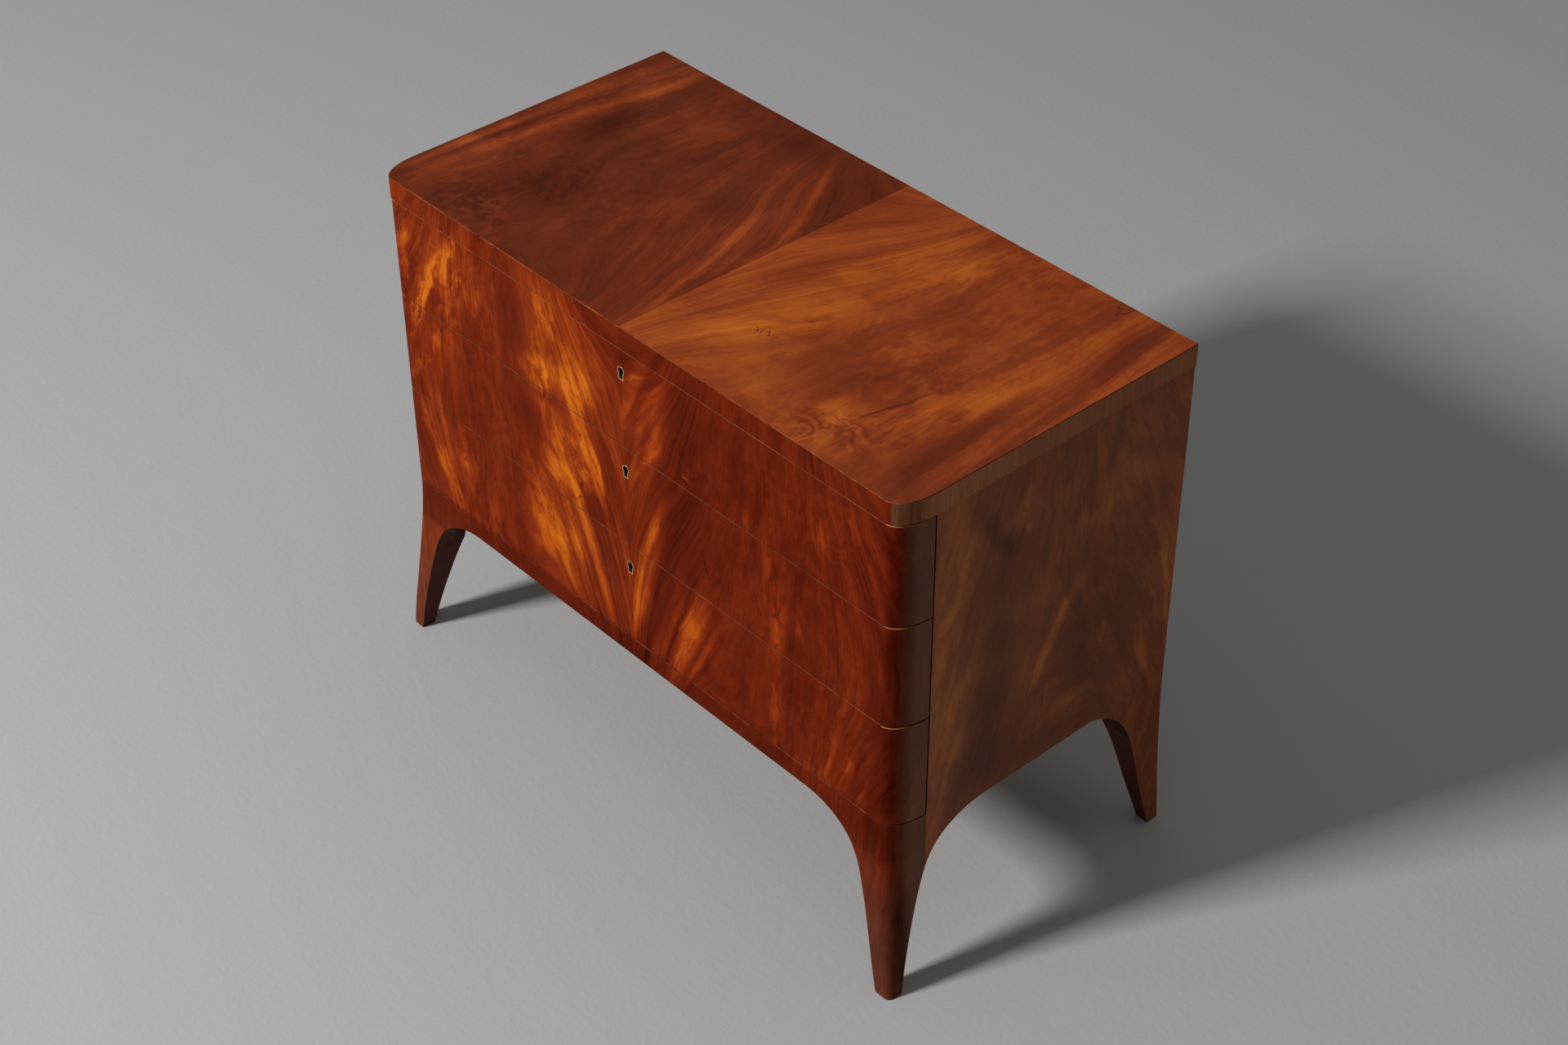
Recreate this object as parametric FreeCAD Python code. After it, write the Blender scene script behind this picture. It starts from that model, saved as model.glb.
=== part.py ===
import FreeCAD, Part
import math
import os
from collections import namedtuple
from FreeCAD import Vector

# A chest of three drawers in mahogany veneer, with fronts that wrap the rounded front corners.
# Millimetres. +Z is up, the drawers open towards -Y, and the origin lies on the floor under
# the middle of the chest. Depths in the plan are measured back from the drawer fronts' face.

# Sizes of the whole
case_wide = 1017.5
case_deep = 500.0
drawer_pitches = (154.0, 158.0, 163.0)
legs_high = 281.0
top_thick = 32.0
top_overhang = 1.25
top_arris = 0.8
side_thick = 26.5
corner_deep = 55.0
corner_strips = 8
round_sides = 24
seam_gap = 1.2
under_top_gap = 2.4
beside_front_gap = 1.6
overrun = 5.0

# Legs, arches and aprons: the shares run from the floor up to the top of the legs
arch_high = 251.0
front_foot_reach = 17.2
side_foot_splay = 15.8
foot_rounding = 10.0
front_foot_wide = 26.0
front_foot_deep = 22.0
rear_foot_wide = 20.5
rear_foot_deep = 20.0
front_arch_reach = 158.0
side_arch_front_reach = 161.0
side_arch_rear_reach = 128.0
leg_block_wide = 51.0
rear_leg_block_deep = 60.0
rear_apron_thick = 22.0
leg_height_shares = (0.0, 0.18, 0.36, 0.54, 0.71, 0.86, 1.0)
leg_reach_shares = (1.0, 0.92, 0.71, 0.48, 0.27, 0.09, 0.0)
leg_splay_shares = (1.0, 0.70, 0.43, 0.22, 0.07, 0.0, 0.0)
leg_corner_shares = (0.0, 0.16, 0.36, 0.60, 0.82, 0.95, 1.0)
front_sweep_shares = (
    (0.0, 0.0), (0.06, 0.18), (0.155, 0.43), (0.262, 0.67),
    (0.365, 0.82), (0.515, 0.917), (0.71, 0.975), (1.0, 1.0),
)
rear_sweep_shares = (
    (0.0, 0.0), (0.133, 0.28), (0.242, 0.562), (0.328, 0.709),
    (0.455, 0.833), (0.61, 0.916), (0.77, 0.968), (1.0, 1.0),
)

# Frame inside the case
rail_thick = 24.0
rail_wide = 60.0
rail_lift = 6.0
rail_front_gap = 0.5
rail_side_gap = 1.0
top_rail_thick = 18.0
runner_wide = 25.0
housing_deep = 8.0
glue_block_wide = 30.0
glue_block_high = 33.0
glue_block_nose = 12.0

# Back boards and fasteners
back_thick = 12.0
back_rebate = 12.0
back_board_count = 3
back_board_gap = 0.4
nail_wide = 2.2
nail_long = 30.0
nail_head_wide = 5.0
nail_head_thick = 1.0
nail_hole_play = 0.1
side_nail_count = 5
nail_inset = 30.0
screw_radius = 2.3
screw_long = 34.0
screw_head_radius = 4.6
screw_head_thick = 3.0
screw_sides = 12
screw_hole_play = 0.1
screw_spread = 330.0

# Drawer boxes
front_thick = 25.0
drawer_play = 1.5
drawer_under_gap = 0.3
drawer_over_gap = 3.0
drawer_back_gap = 18.0
box_thick = 12.0
tail_lap = 6.0
tail_count = 3
tail_wide_share = 0.7
tail_slope_share = 0.16
bottom_thick = 8.0
bottom_edge_thick = 5.0
bottom_bevel_wide = 25.0
bottom_rise = 8.0
groove_deep = 5.5
groove_play = 0.15
back_drop = 6.0

# Locks and their keyholes, placed from the centre of the key's barrel
key_drop = 36.0
key_head_radius = 6.5
key_slot_wide = 9.2
key_slot_low = 13.3
escutcheon_wall = 1.25
escutcheon_deep = 4.0
lock_plate_wide = 70.0
lock_plate_thick = 2.0
lock_plate_low = 27.0
lock_body_wide = 48.0
lock_body_low = 25.0
lock_body_deep = 12.0
lock_wall = 1.5
lock_top = 16.0
drill_pin_radius = 1.75
drill_pin_back = 0.5
bolt_wide = 22.0
bolt_thick = 4.5
bolt_set_back = 5.75
bolt_top = 16.8
bolt_shoulder_wide = 32.0
bolt_shoulder_low = 0.5
bolt_shoulder_top = 5.2
bolt_slot_play = 0.3
mortise_play = 1.0
mortise_deep = 10.0
lock_screw_radius = 1.7
lock_screw_long = 14.0
lock_screw_head_radius = 3.6
lock_screw_spread = 60.0
lock_screw_high = 8.0
lock_screw_low = 20.0

# Places that follow from the sizes
half_case = case_wide / 2
back_y = (case_deep + front_foot_reach) / 2
front_y = back_y - case_deep
inner_x = half_case - side_thick
box_x = inner_x - drawer_play
corner_wide = half_case - box_x
side_front_y = front_y + corner_deep
case_top = legs_high + sum(drawer_pitches)
leg_top = legs_high - seam_gap / 2
floor_top = legs_high + rail_lift
floor_under = floor_top - rail_thick
leg_joint_x = half_case - leg_block_wide
rear_leg_y = back_y - rear_leg_block_deep
rail_front_y = front_y + front_thick + rail_front_gap
rail_back_y = rail_front_y + rail_wide
boards_y = back_y - back_thick
rear_apron_y = back_y - rear_apron_thick
boards_low = floor_top - back_rebate
housing_x = inner_x + housing_deep
mouth_y = front_y + front_thick
box_back_y = boards_y - drawer_back_gap
drawer_names = ("upper_drawer", "middle_drawer", "lower_drawer")
seams = [case_top - sum(drawer_pitches[:level]) for level in range(len(drawer_pitches) + 1)]

Heights = namedtuple("Heights", "seam_low seam_high low top floor back_top key")


def box(x0, x1, y0, y1, z0, z1):
    """A block between two corners, given as three ranges."""
    return Part.makeBox(x1 - x0, y1 - y0, z1 - z0, Vector(x0, y0, z0))


def prism(points, along):
    """A polygon through the points, pulled along a vector."""
    wire = Part.makePolygon([*points, points[0]])
    return Part.Face(wire).extrude(along)


def ring(centre, along, radius, sides):
    """Points round a centre, square to a direction, for a round thing drawn many-sided."""
    across = Vector(1, 0, 0)
    up = along.cross(across)
    points = []
    for side in range(sides):
        turn = 2 * math.pi * side / sides
        points.append(centre + across * (radius * math.cos(turn)) + up * (radius * math.sin(turn)))
    return points


def rod(base, along, radius, length):
    """A round bar from a base point along a direction, drawn with narrow sides."""
    return prism(ring(base, along, radius, round_sides), along * length)


def mirrored(shape):
    """The same piece for the other side of the chest."""
    return shape.mirror(Vector(0, 0, 0), Vector(1, 0, 0))


def smooth_edge(points, first_tangent=None, last_tangent=None):
    """A smooth curve through the points, with an end tangent where one is given."""
    curve = Part.BSplineCurve()
    if first_tangent is not None:
        curve.interpolate(Points=points, InitialTangent=first_tangent,
                          FinalTangent=last_tangent or points[-1] - points[-2])
    elif last_tangent is not None:
        curve.interpolate(Points=points, InitialTangent=points[1] - points[0],
                          FinalTangent=last_tangent)
    else:
        curve.interpolate(Points=points)
    return curve.toShape()


def corner_arc(x_end, y_front, wide, deep, z):
    """A quarter ellipse that turns a front face into a side face at a front right corner."""
    centre = Vector(x_end - wide, y_front + deep, z)
    along_front = centre - Vector(0, deep, 0)
    along_side = centre + Vector(wide, 0, 0)
    middle = centre + Vector(wide, -deep, 0) * 0.5
    if deep > wide:
        ellipse = Part.Ellipse(along_front, along_side, centre)
    else:
        ellipse = Part.Ellipse(along_side, along_front, centre)
    start = ellipse.parameter(along_front)
    end = ellipse.parameter(along_side)
    arc = Part.ArcOfEllipse(ellipse, min(start, end), max(start, end)).toShape()
    if arc.distToShape(Part.Vertex(middle))[0] > max(wide, deep) / 2:
        arc = Part.ArcOfEllipse(ellipse, max(start, end), min(start, end)).toShape()
    return arc


def sweep_points(foot, across, rise, shares, place):
    """Points of an arch's curve from a foot up to the crown, set in space by place."""
    return [place(foot + across * part, rise * up) for part, up in shares]


def arch_prism(left_foot, left_reach, right_foot, right_reach, left_shares, right_shares,
               place, along):
    """The open space under an apron: two curved sweeps joined by a straight crown."""
    left = sweep_points(left_foot, left_reach, arch_high, left_shares, place)
    right = sweep_points(right_foot, -right_reach, arch_high, right_shares, place)
    level = right[-1] - left[-1]
    below = Vector(0, 0, -overrun)
    edges = [
        smooth_edge(left, last_tangent=level),
        Part.makeLine(left[-1], right[-1]),
        smooth_edge(right, last_tangent=level * -1),
        Part.makeLine(right[0], right[0] + below),
        Part.makeLine(right[0] + below, left[0] + below),
        Part.makeLine(left[0] + below, left[0]),
    ]
    wire = Part.Wire(Part.sortEdges(edges)[0])
    return Part.Face(wire).extrude(along)


def front_arch(y0, y1, foot_wide):
    """The arch between two feet, cut through everything from y0 to y1."""
    foot = half_case + side_foot_splay - foot_wide
    return arch_prism(-foot, front_arch_reach, foot, front_arch_reach,
                      front_sweep_shares, front_sweep_shares,
                      lambda across, up: Vector(across, y0, up), Vector(0, y1 - y0, 0))


def side_arch():
    """The arch between the front and the rear foot, cut through one whole side."""
    first = front_y - front_foot_reach + front_foot_deep
    last = back_y - rear_foot_deep
    start = leg_joint_x - overrun
    reach = half_case + side_foot_splay + overrun - start
    return arch_prism(first, side_arch_front_reach, last, side_arch_rear_reach,
                      front_sweep_shares, rear_sweep_shares,
                      lambda across, up: Vector(start, across, up), Vector(reach, 0, 0))


def splay_edge(y):
    """The outward sweep of the case's side, from the floor to where it is upright."""
    points = [
        Vector(half_case + side_foot_splay * splay, y, legs_high * height)
        for height, splay in zip(leg_height_shares, leg_splay_shares)
    ]
    return smooth_edge(points, points[1] - points[0], Vector(0, 0, 1))


def side_slab(x0, y0, y1, z1):
    """A plank on the right side, whose outer face sweeps outward towards the floor."""
    lean = splay_edge(y0)
    foot = lean.Vertexes[0].Point
    knee = lean.Vertexes[-1].Point
    corners = [knee, Vector(half_case, y0, z1), Vector(x0, y0, z1), Vector(x0, y0, 0), foot]
    edges = [lean] + [Part.makeLine(a, b) for a, b in zip(corners, corners[1:])]
    wire = Part.Wire(Part.sortEdges(edges)[0])
    return Part.Face(wire).extrude(Vector(0, y1 - y0, 0))


def nail_places():
    """Heads of the nails that hold the back boards: two side rows, then top and bottom."""
    side_x = inner_x + back_rebate / 2
    low = boards_low + nail_inset
    step = (case_top - nail_inset - low) / (side_nail_count - 1)
    places = [
        (side * side_x, low + step * row)
        for side in (-1, 1) for row in range(side_nail_count)
    ]
    board_wide = 2 * (inner_x + back_rebate) / back_board_count
    top_z = case_top - top_rail_thick / 2
    low_z = boards_low + back_rebate / 2
    for board in range(back_board_count):
        middle = board_wide * (board - (back_board_count - 1) / 2)
        for shift in (-board_wide / 4, board_wide / 4):
            places += [(middle + shift, top_z), (middle + shift, low_z)]
    return places


def nails(play=0.0):
    """The back's square cut nails, or their holes where a play is given."""
    made = []
    head_half = nail_head_wide / 2 + play
    half = nail_wide / 2 + play
    for x, z in nail_places():
        head = box(x - head_half, x + head_half, back_y - nail_head_thick, back_y,
                   z - head_half, z + head_half)
        shank = box(x - half, x + half, back_y - nail_long - play, back_y, z - half, z + half)
        made.append(head.fuse(shank))
    return made


def screw(base, along, head_radius, head_thick, radius, length):
    """A countersunk screw drawn many-sided, with its flush head at the base point."""
    rings = []
    for reach, size in ((0, head_radius), (head_thick, radius), (length, radius)):
        points = ring(base + along * reach, along, size, screw_sides)
        rings.append([*points, points[0]])
    faces = [Part.Face(Part.makePolygon(points)) for points in (rings[0], rings[-1])]
    for near, far in zip(rings, rings[1:]):
        for a, b, c, d in zip(near, near[1:], far[1:], far):
            faces.append(Part.Face(Part.makePolygon([a, b, c, d, a])))
    return Part.Solid(Part.makeShell(faces))


def top_screws(play=0.0):
    """Countersunk screws that hold the top down to its two rails, or their holes."""
    rows = (rail_front_y + rail_wide / 2, boards_y - rail_wide / 2)
    under = case_top - top_rail_thick
    made = []
    for y in rows:
        for x in (-screw_spread, 0, screw_spread):
            made.append(screw(Vector(x, y, under), Vector(0, 0, 1), screw_head_radius + play,
                              screw_head_thick, screw_radius + play, screw_long + play))
    return made


def top_panel():
    """The flat top, its two front corners rounded like the case under them."""
    wide = half_case + top_overhang
    front = front_y - top_overhang
    across = corner_wide + top_overhang
    deep = corner_deep + top_overhang
    right = corner_arc(wide, front, across, deep, case_top)
    left = mirrored(right)
    edges = [
        right, left,
        Part.makeLine(Vector(across - wide, front, case_top),
                      Vector(wide - across, front, case_top)),
        Part.makeLine(Vector(wide, front + deep, case_top), Vector(wide, back_y, case_top)),
        Part.makeLine(Vector(wide, back_y, case_top), Vector(-wide, back_y, case_top)),
        Part.makeLine(Vector(-wide, back_y, case_top), Vector(-wide, front + deep, case_top)),
    ]
    wire = Part.Wire(Part.sortEdges(edges)[0])
    slab = Part.Face(wire).extrude(Vector(0, 0, top_thick))
    rim = [
        edge for edge in slab.Edges
        if abs(edge.BoundBox.ZMin - case_top - top_thick) < top_arris
        and edge.BoundBox.YMin < back_y - top_arris
    ]
    holes = Part.makeCompound(top_screws(screw_hole_play))
    return slab.makeChamfer(top_arris, rim).cut(holes)


def side_panel():
    """The right side: arched below, housed inside for the frame, rebated for the back."""
    panel = side_slab(inner_x, side_front_y, back_y, case_top)
    rear_leg_seat = box(inner_x - overrun, half_case + side_foot_splay + overrun,
                        rear_leg_y, back_y + overrun, -overrun, floor_under)
    rebate = box(inner_x - overrun, inner_x + back_rebate, boards_y, back_y + overrun,
                 boards_low, case_top + overrun)
    cuts = [side_arch(), rear_leg_seat, rebate]
    front = side_front_y - overrun
    cuts.append(box(inner_x - overrun, housing_x, front, rear_apron_y, floor_under, floor_top))
    for seam in seams[1:-1]:
        top = seam + rail_lift
        cuts.append(box(inner_x - overrun, housing_x, front, boards_y, top - rail_thick, top))
    cuts.append(box(inner_x - overrun, housing_x, front, boards_y,
                    case_top - top_rail_thick, case_top + overrun))
    return panel.cut(Part.makeCompound(cuts)).cut(Part.makeCompound(nails(nail_hole_play)))


def leg_section(height, reach, splay, corner):
    """The front leg's outline at one height, its round corner cut into narrow strips."""
    z = leg_top * height
    face = front_y - front_foot_reach * reach
    side = half_case + side_foot_splay * splay
    across = foot_rounding + (corner_wide - foot_rounding) * corner
    deep = foot_rounding + (corner_deep - foot_rounding) * corner
    points = []
    for strip in range(corner_strips + 1):
        turn = math.pi / 2 * strip / corner_strips
        points.append(Vector(side - across + across * math.sin(turn),
                             face + deep - deep * math.cos(turn), z))
    inner = leg_joint_x - overrun
    rear = side_front_y + overrun
    points += [Vector(side, rear, z), Vector(inner, rear, z), Vector(inner, face, z)]
    return Part.makePolygon([*points, points[0]])


def front_leg():
    """The right front leg: lofted so that the case's round corner dies into a small foot."""
    sections = [
        leg_section(*shares)
        for shares in zip(leg_height_shares, leg_reach_shares, leg_splay_shares,
                          leg_corner_shares)
    ]
    blank = Part.makeLoft(sections, True, False)
    room = box(leg_joint_x, half_case + side_foot_splay + overrun,
               front_y - front_foot_reach - overrun, side_front_y, 0, leg_top)
    arch = front_arch(front_y - front_foot_reach - overrun, side_front_y + overrun,
                      front_foot_wide)
    return blank.common(room).cut(arch).cut(side_arch())


def rear_leg():
    """The right rear leg: it carries the side's sweep down and is flush with the back."""
    blank = side_slab(leg_joint_x, rear_leg_y, back_y, case_top)
    above = box(leg_joint_x - overrun, half_case + overrun, rear_leg_y - overrun,
                back_y + overrun, floor_under, case_top + overrun)
    arch = front_arch(rear_leg_y - overrun, back_y + overrun, rear_foot_wide)
    return blank.cut(above).cut(arch).cut(side_arch())


def front_apron():
    """The board under the lowest drawer, arched and leaning forward with the legs."""
    points = [
        Vector(-leg_joint_x, front_y - front_foot_reach * reach, leg_top * height)
        for height, reach in zip(leg_height_shares, leg_reach_shares)
    ]
    face = smooth_edge(points, Vector(0, 0, 1), points[-1] - points[-2])
    rear_low = Vector(-leg_joint_x, rail_front_y, 0)
    rear_top = Vector(-leg_joint_x, rail_front_y, leg_top)
    edges = [
        face,
        Part.makeLine(points[-1], rear_top),
        Part.makeLine(rear_top, rear_low),
        Part.makeLine(rear_low, points[0]),
    ]
    wire = Part.Wire(Part.sortEdges(edges)[0])
    board = Part.Face(wire).extrude(Vector(2 * leg_joint_x, 0, 0))
    return board.cut(front_arch(front_y - front_foot_reach - overrun, rail_front_y + overrun,
                                front_foot_wide))


def rear_apron():
    """The board between the rear legs, arched below and rebated above for the back."""
    low = box(-leg_joint_x, leg_joint_x, rear_apron_y, back_y, 0, floor_under)
    high = box(-inner_x, inner_x, rear_apron_y, back_y, floor_under, floor_top)
    rebate = box(-inner_x - overrun, inner_x + overrun, boards_y, back_y + overrun,
                 boards_low, floor_top + overrun)
    arch = front_arch(rear_apron_y - overrun, back_y + overrun, rear_foot_wide)
    cuts = Part.makeCompound([rebate, arch, *nails(nail_hole_play)])
    return low.fuse(high).removeSplitter().cut(cuts)


def notched_board(front_half, y0, y1, z0, z1):
    """A board in its housings, narrower where it passes between the front corners."""
    points = [
        Vector(-front_half, y0, z0), Vector(front_half, y0, z0),
        Vector(front_half, side_front_y, z0), Vector(housing_x, side_front_y, z0),
        Vector(housing_x, y1, z0), Vector(-housing_x, y1, z0),
        Vector(-housing_x, side_front_y, z0), Vector(-front_half, side_front_y, z0),
    ]
    return prism(points, Vector(0, 0, z1 - z0))


def bolt_mortise(under):
    """The pocket under a rail that a raised lock bolt enters."""
    half = bolt_wide / 2 + mortise_play
    near = mouth_y + bolt_set_back - mortise_play
    far = mouth_y + bolt_set_back + bolt_thick + mortise_play
    return box(-half, half, near, far, under - overrun, under + mortise_deep)


def rail_between(seam):
    """A rail between two drawers, with its mortise for the lock of the drawer below."""
    top = seam + rail_lift
    rail = notched_board(box_x - rail_side_gap, rail_front_y, rail_back_y, top - rail_thick, top)
    return rail.cut(bolt_mortise(top - rail_thick))


def top_rail_front():
    """The front rail under the top, with the upper drawer's mortise."""
    under = case_top - top_rail_thick
    rail = notched_board(box_x - rail_side_gap, rail_front_y, rail_back_y, under, case_top)
    return rail.cut(bolt_mortise(under)).cut(Part.makeCompound(top_screws(screw_hole_play)))


def top_rail_back():
    """The rear rail under the top, which the back boards are nailed to."""
    rail = box(-housing_x, housing_x, boards_y - rail_wide, boards_y,
               case_top - top_rail_thick, case_top)
    holes = [*top_screws(screw_hole_play), *nails(nail_hole_play)]
    return rail.cut(Part.makeCompound(holes))


def bottom_board():
    """The case's floor, notched round the front legs; the lowest drawer runs on it."""
    board = notched_board(leg_joint_x, rail_front_y, rear_apron_y, floor_under, floor_top)
    return board.cut(Part.makeCompound(nails(nail_hole_play)))


def runner(seam):
    """A strip on the right side that carries the drawer above it."""
    top = seam + rail_lift
    return box(inner_x - runner_wide, housing_x, rail_back_y, boards_y, top - rail_thick, top)


def kicker():
    """A strip under the top that keeps the upper drawer from tipping when it is open."""
    return box(inner_x - runner_wide, housing_x, rail_back_y, boards_y - rail_wide,
               case_top - top_rail_thick, case_top)


def glue_blocks():
    """Four blocks in the corners behind the legs, under the case's floor."""
    made = []
    for y, away in ((side_front_y, 1), (rear_leg_y, -1)):
        low = floor_under - glue_block_high
        points = [
            Vector(inner_x, y, low), Vector(inner_x - glue_block_wide, y, low),
            Vector(inner_x - glue_block_wide, y + away * glue_block_nose, low),
            Vector(inner_x - glue_block_nose, y + away * glue_block_wide, low),
            Vector(inner_x, y + away * glue_block_wide, low),
        ]
        block = prism(points, Vector(0, 0, glue_block_high))
        made += [block, mirrored(block)]
    return made


def back_boards():
    """Upright boards that close the back, from left to right."""
    half = inner_x + back_rebate
    step = 2 * half / back_board_count
    holes = Part.makeCompound(nails(nail_hole_play))
    made = []
    for board in range(back_board_count):
        left = -half + step * board + back_board_gap / 2
        right = left + step - back_board_gap
        made.append(box(left, right, boards_y, back_y, boards_low, case_top).cut(holes))
    return made


def tails(y_end, y_root, z0, z1, x0, x1):
    """A row of dovetails, wide at their end and narrower at their root."""
    pitch = (z1 - z0) / tail_count
    wide = pitch * tail_wide_share / 2
    narrow = wide - abs(y_end - y_root) * tail_slope_share
    made = []
    for number in range(tail_count):
        middle = z0 + pitch * (number + 1 / 2)
        points = [
            Vector(x0, y_end, middle - wide), Vector(x0, y_root, middle - narrow),
            Vector(x0, y_root, middle + narrow), Vector(x0, y_end, middle + wide),
        ]
        made.append(prism(points, Vector(x1 - x0, 0, 0)))
    return made


def keyhole_outline(grow, y):
    """The keyhole's outline in a drawer front: a round head over a straight slot."""
    radius = key_head_radius + grow
    half = key_slot_wide / 2 + grow
    low = -key_slot_low - grow
    first = math.asin(half / radius)
    points = [Vector(-half, y, low), Vector(half, y, low)]
    for side in range(round_sides + 1):
        turn = first + 2 * (math.pi - first) * side / round_sides
        points.append(Vector(radius * math.sin(turn), y, -radius * math.cos(turn)))
    return points


def keyhole(grow, y0, y1):
    """The keyhole's outline pulled through from y0 to y1."""
    return prism(keyhole_outline(grow, y0), Vector(0, y1 - y0, 0))


def lock_screw_set(play=0.0):
    """The four screws of one lock, or their holes, round the key's centre."""
    made = []
    head_y = mouth_y + lock_plate_thick
    for x in (-lock_screw_spread / 2, lock_screw_spread / 2):
        for z in (lock_screw_high, -lock_screw_low):
            made.append(screw(Vector(x, head_y, z), Vector(0, -1, 0),
                              lock_screw_head_radius + play, lock_plate_thick,
                              lock_screw_radius + play, lock_screw_long + play))
    return made


def lock_case():
    """A lock's plate and box in one, open at the keyhole and where the bolt comes out."""
    plate = box(-lock_plate_wide / 2, lock_plate_wide / 2, mouth_y, mouth_y + lock_plate_thick,
                -lock_plate_low, lock_top)
    inner_y = mouth_y + lock_plate_thick
    outer_y = inner_y + lock_body_deep
    half = lock_body_wide / 2
    shell = box(-half, half, inner_y, outer_y, -lock_body_low, lock_top)
    hollow = box(-half + lock_wall, half - lock_wall, inner_y, outer_y - lock_wall,
                 -lock_body_low + lock_wall, lock_top - lock_wall)
    slot_half = bolt_wide / 2 + bolt_slot_play
    near = mouth_y + bolt_set_back
    slot = box(-slot_half, slot_half, near - bolt_slot_play, near + bolt_thick + bolt_slot_play,
               lock_top - lock_wall - overrun, lock_top + overrun)
    pin_y = mouth_y + drill_pin_back
    pin = rod(Vector(0, pin_y, 0), Vector(0, 1, 0), drill_pin_radius,
              outer_y - lock_wall / 2 - pin_y)
    body = plate.fuse(shell.cut(hollow)).cut(slot)
    body = body.cut(keyhole(-escutcheon_wall, mouth_y - overrun, inner_y + drill_pin_back))
    return body.fuse(pin).removeSplitter().cut(Part.makeCompound(lock_screw_set(screw_hole_play)))


def lock_bolt():
    """The bolt that the key lifts, with its talon hollowed round the key's barrel."""
    near = mouth_y + bolt_set_back
    half = bolt_wide / 2
    wide = bolt_shoulder_wide / 2
    points = [
        Vector(-wide, near, bolt_shoulder_low), Vector(wide, near, bolt_shoulder_low),
        Vector(wide, near, bolt_shoulder_top), Vector(half, near, bolt_shoulder_top),
        Vector(half, near, bolt_top), Vector(-half, near, bolt_top),
        Vector(-half, near, bolt_shoulder_top), Vector(-wide, near, bolt_shoulder_top),
    ]
    talon = rod(Vector(0, near - overrun, 0), Vector(0, 1, 0), key_head_radius,
                bolt_thick + 2 * overrun)
    return prism(points, Vector(0, bolt_thick, 0)).cut(talon)


def drawer_heights(level):
    """The heights that one drawer is made to, from the seams and the rail above it."""
    under_rail = top_rail_thick if level == 0 else rail_thick - rail_lift
    under_seam = under_top_gap if level == 0 else seam_gap / 2
    low = seams[level + 1] + rail_lift + drawer_under_gap
    top = seams[level] - under_rail - drawer_over_gap
    return Heights(
        seam_low=seams[level + 1] + seam_gap / 2,
        seam_high=seams[level] - under_seam,
        low=low,
        top=top,
        floor=low + bottom_rise + bottom_thick,
        back_top=top - back_drop,
        key=Vector(0, 0, seams[level] - key_drop),
    )


def groove(x0, x1, y0, y1, floor):
    """The groove that a drawer's bottom board slides in."""
    return box(x0, x1, y0, y1, floor - bottom_edge_thick - groove_play, floor + groove_play)


def drawer_side(at):
    """A drawer's right side: dovetails at both ends and a groove for the bottom."""
    inside = box_x - box_thick
    board = box(inside, box_x, mouth_y, box_back_y, at.low, at.top)
    board = board.fuse(tails(front_y + tail_lap, mouth_y, at.low, at.top, inside, box_x))
    end = box(inside, box_x, box_back_y - box_thick, box_back_y, at.floor, at.back_top)
    end_tails = tails(box_back_y, box_back_y - box_thick, at.floor, at.back_top, inside, box_x)
    board = board.cut(end).fuse(end_tails).removeSplitter()
    return board.cut(groove(inside - overrun, inside + groove_deep, mouth_y - groove_deep,
                            box_back_y + overrun, at.floor))


def drawer_front(at, sides):
    """A drawer's front board, cut for its dovetails, bottom, keyhole, rim and lock screws."""
    board = box(-box_x, box_x, front_y, mouth_y, at.seam_low, at.seam_high)
    reach = box_x - box_thick + groove_deep
    seat = keyhole(0, front_y - overrun, front_y + escutcheon_deep)
    way = keyhole(-escutcheon_wall, front_y - overrun, mouth_y + overrun)
    holes = Part.makeCompound([seat, way, *lock_screw_set(screw_hole_play)])
    holes.translate(at.key)
    slot = groove(-reach, reach, mouth_y - groove_deep, mouth_y + overrun, at.floor)
    for cut in (*sides, slot, holes):
        board = board.cut(cut)
    return board


def corner_block(at):
    """The rounded end of a drawer front, which wraps the case's right front corner."""
    corner = Vector(box_x, side_front_y, at.seam_low)
    edges = [
        corner_arc(half_case, front_y, corner_wide, corner_deep, at.seam_low),
        Part.makeLine(Vector(half_case, side_front_y, at.seam_low), corner),
        Part.makeLine(corner, Vector(box_x, front_y, at.seam_low)),
    ]
    quarter = Part.Face(Part.Wire(Part.sortEdges(edges)[0]))
    block = quarter.extrude(Vector(0, 0, at.seam_high - at.seam_low))
    return block.cut(box(box_x - overrun, half_case + overrun, side_front_y - beside_front_gap,
                         side_front_y + overrun, at.seam_low, at.seam_high))


def drawer_bottom(at):
    """A drawer's bottom board, bevelled under three edges to a tongue for the grooves."""
    edge_x = box_x - box_thick + groove_deep - groove_play
    under = at.floor - bottom_thick
    thin = at.floor - bottom_edge_thick
    start = mouth_y - groove_deep + groove_play
    slope = edge_x - bottom_bevel_wide
    tongue = edge_x - groove_deep
    profile = [
        Vector(-edge_x, start, at.floor), Vector(-edge_x, start, thin),
        Vector(-tongue, start, thin), Vector(-slope, start, under),
        Vector(slope, start, under), Vector(tongue, start, thin),
        Vector(edge_x, start, thin), Vector(edge_x, start, at.floor),
    ]
    board = prism(profile, Vector(0, box_back_y - start, 0))
    lip = [
        Vector(-edge_x, start, under), Vector(-edge_x, start, thin),
        Vector(-edge_x, start + groove_deep, thin),
        Vector(-edge_x, start + bottom_bevel_wide, under),
    ]
    return board.cut(prism(lip, Vector(2 * edge_x, 0, 0)))


def escutcheon():
    """The thin metal rim that lines a keyhole, round the key's centre."""
    rim = keyhole(0, front_y, front_y + escutcheon_deep)
    return rim.cut(keyhole(-escutcheon_wall, front_y - overrun, mouth_y))


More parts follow.
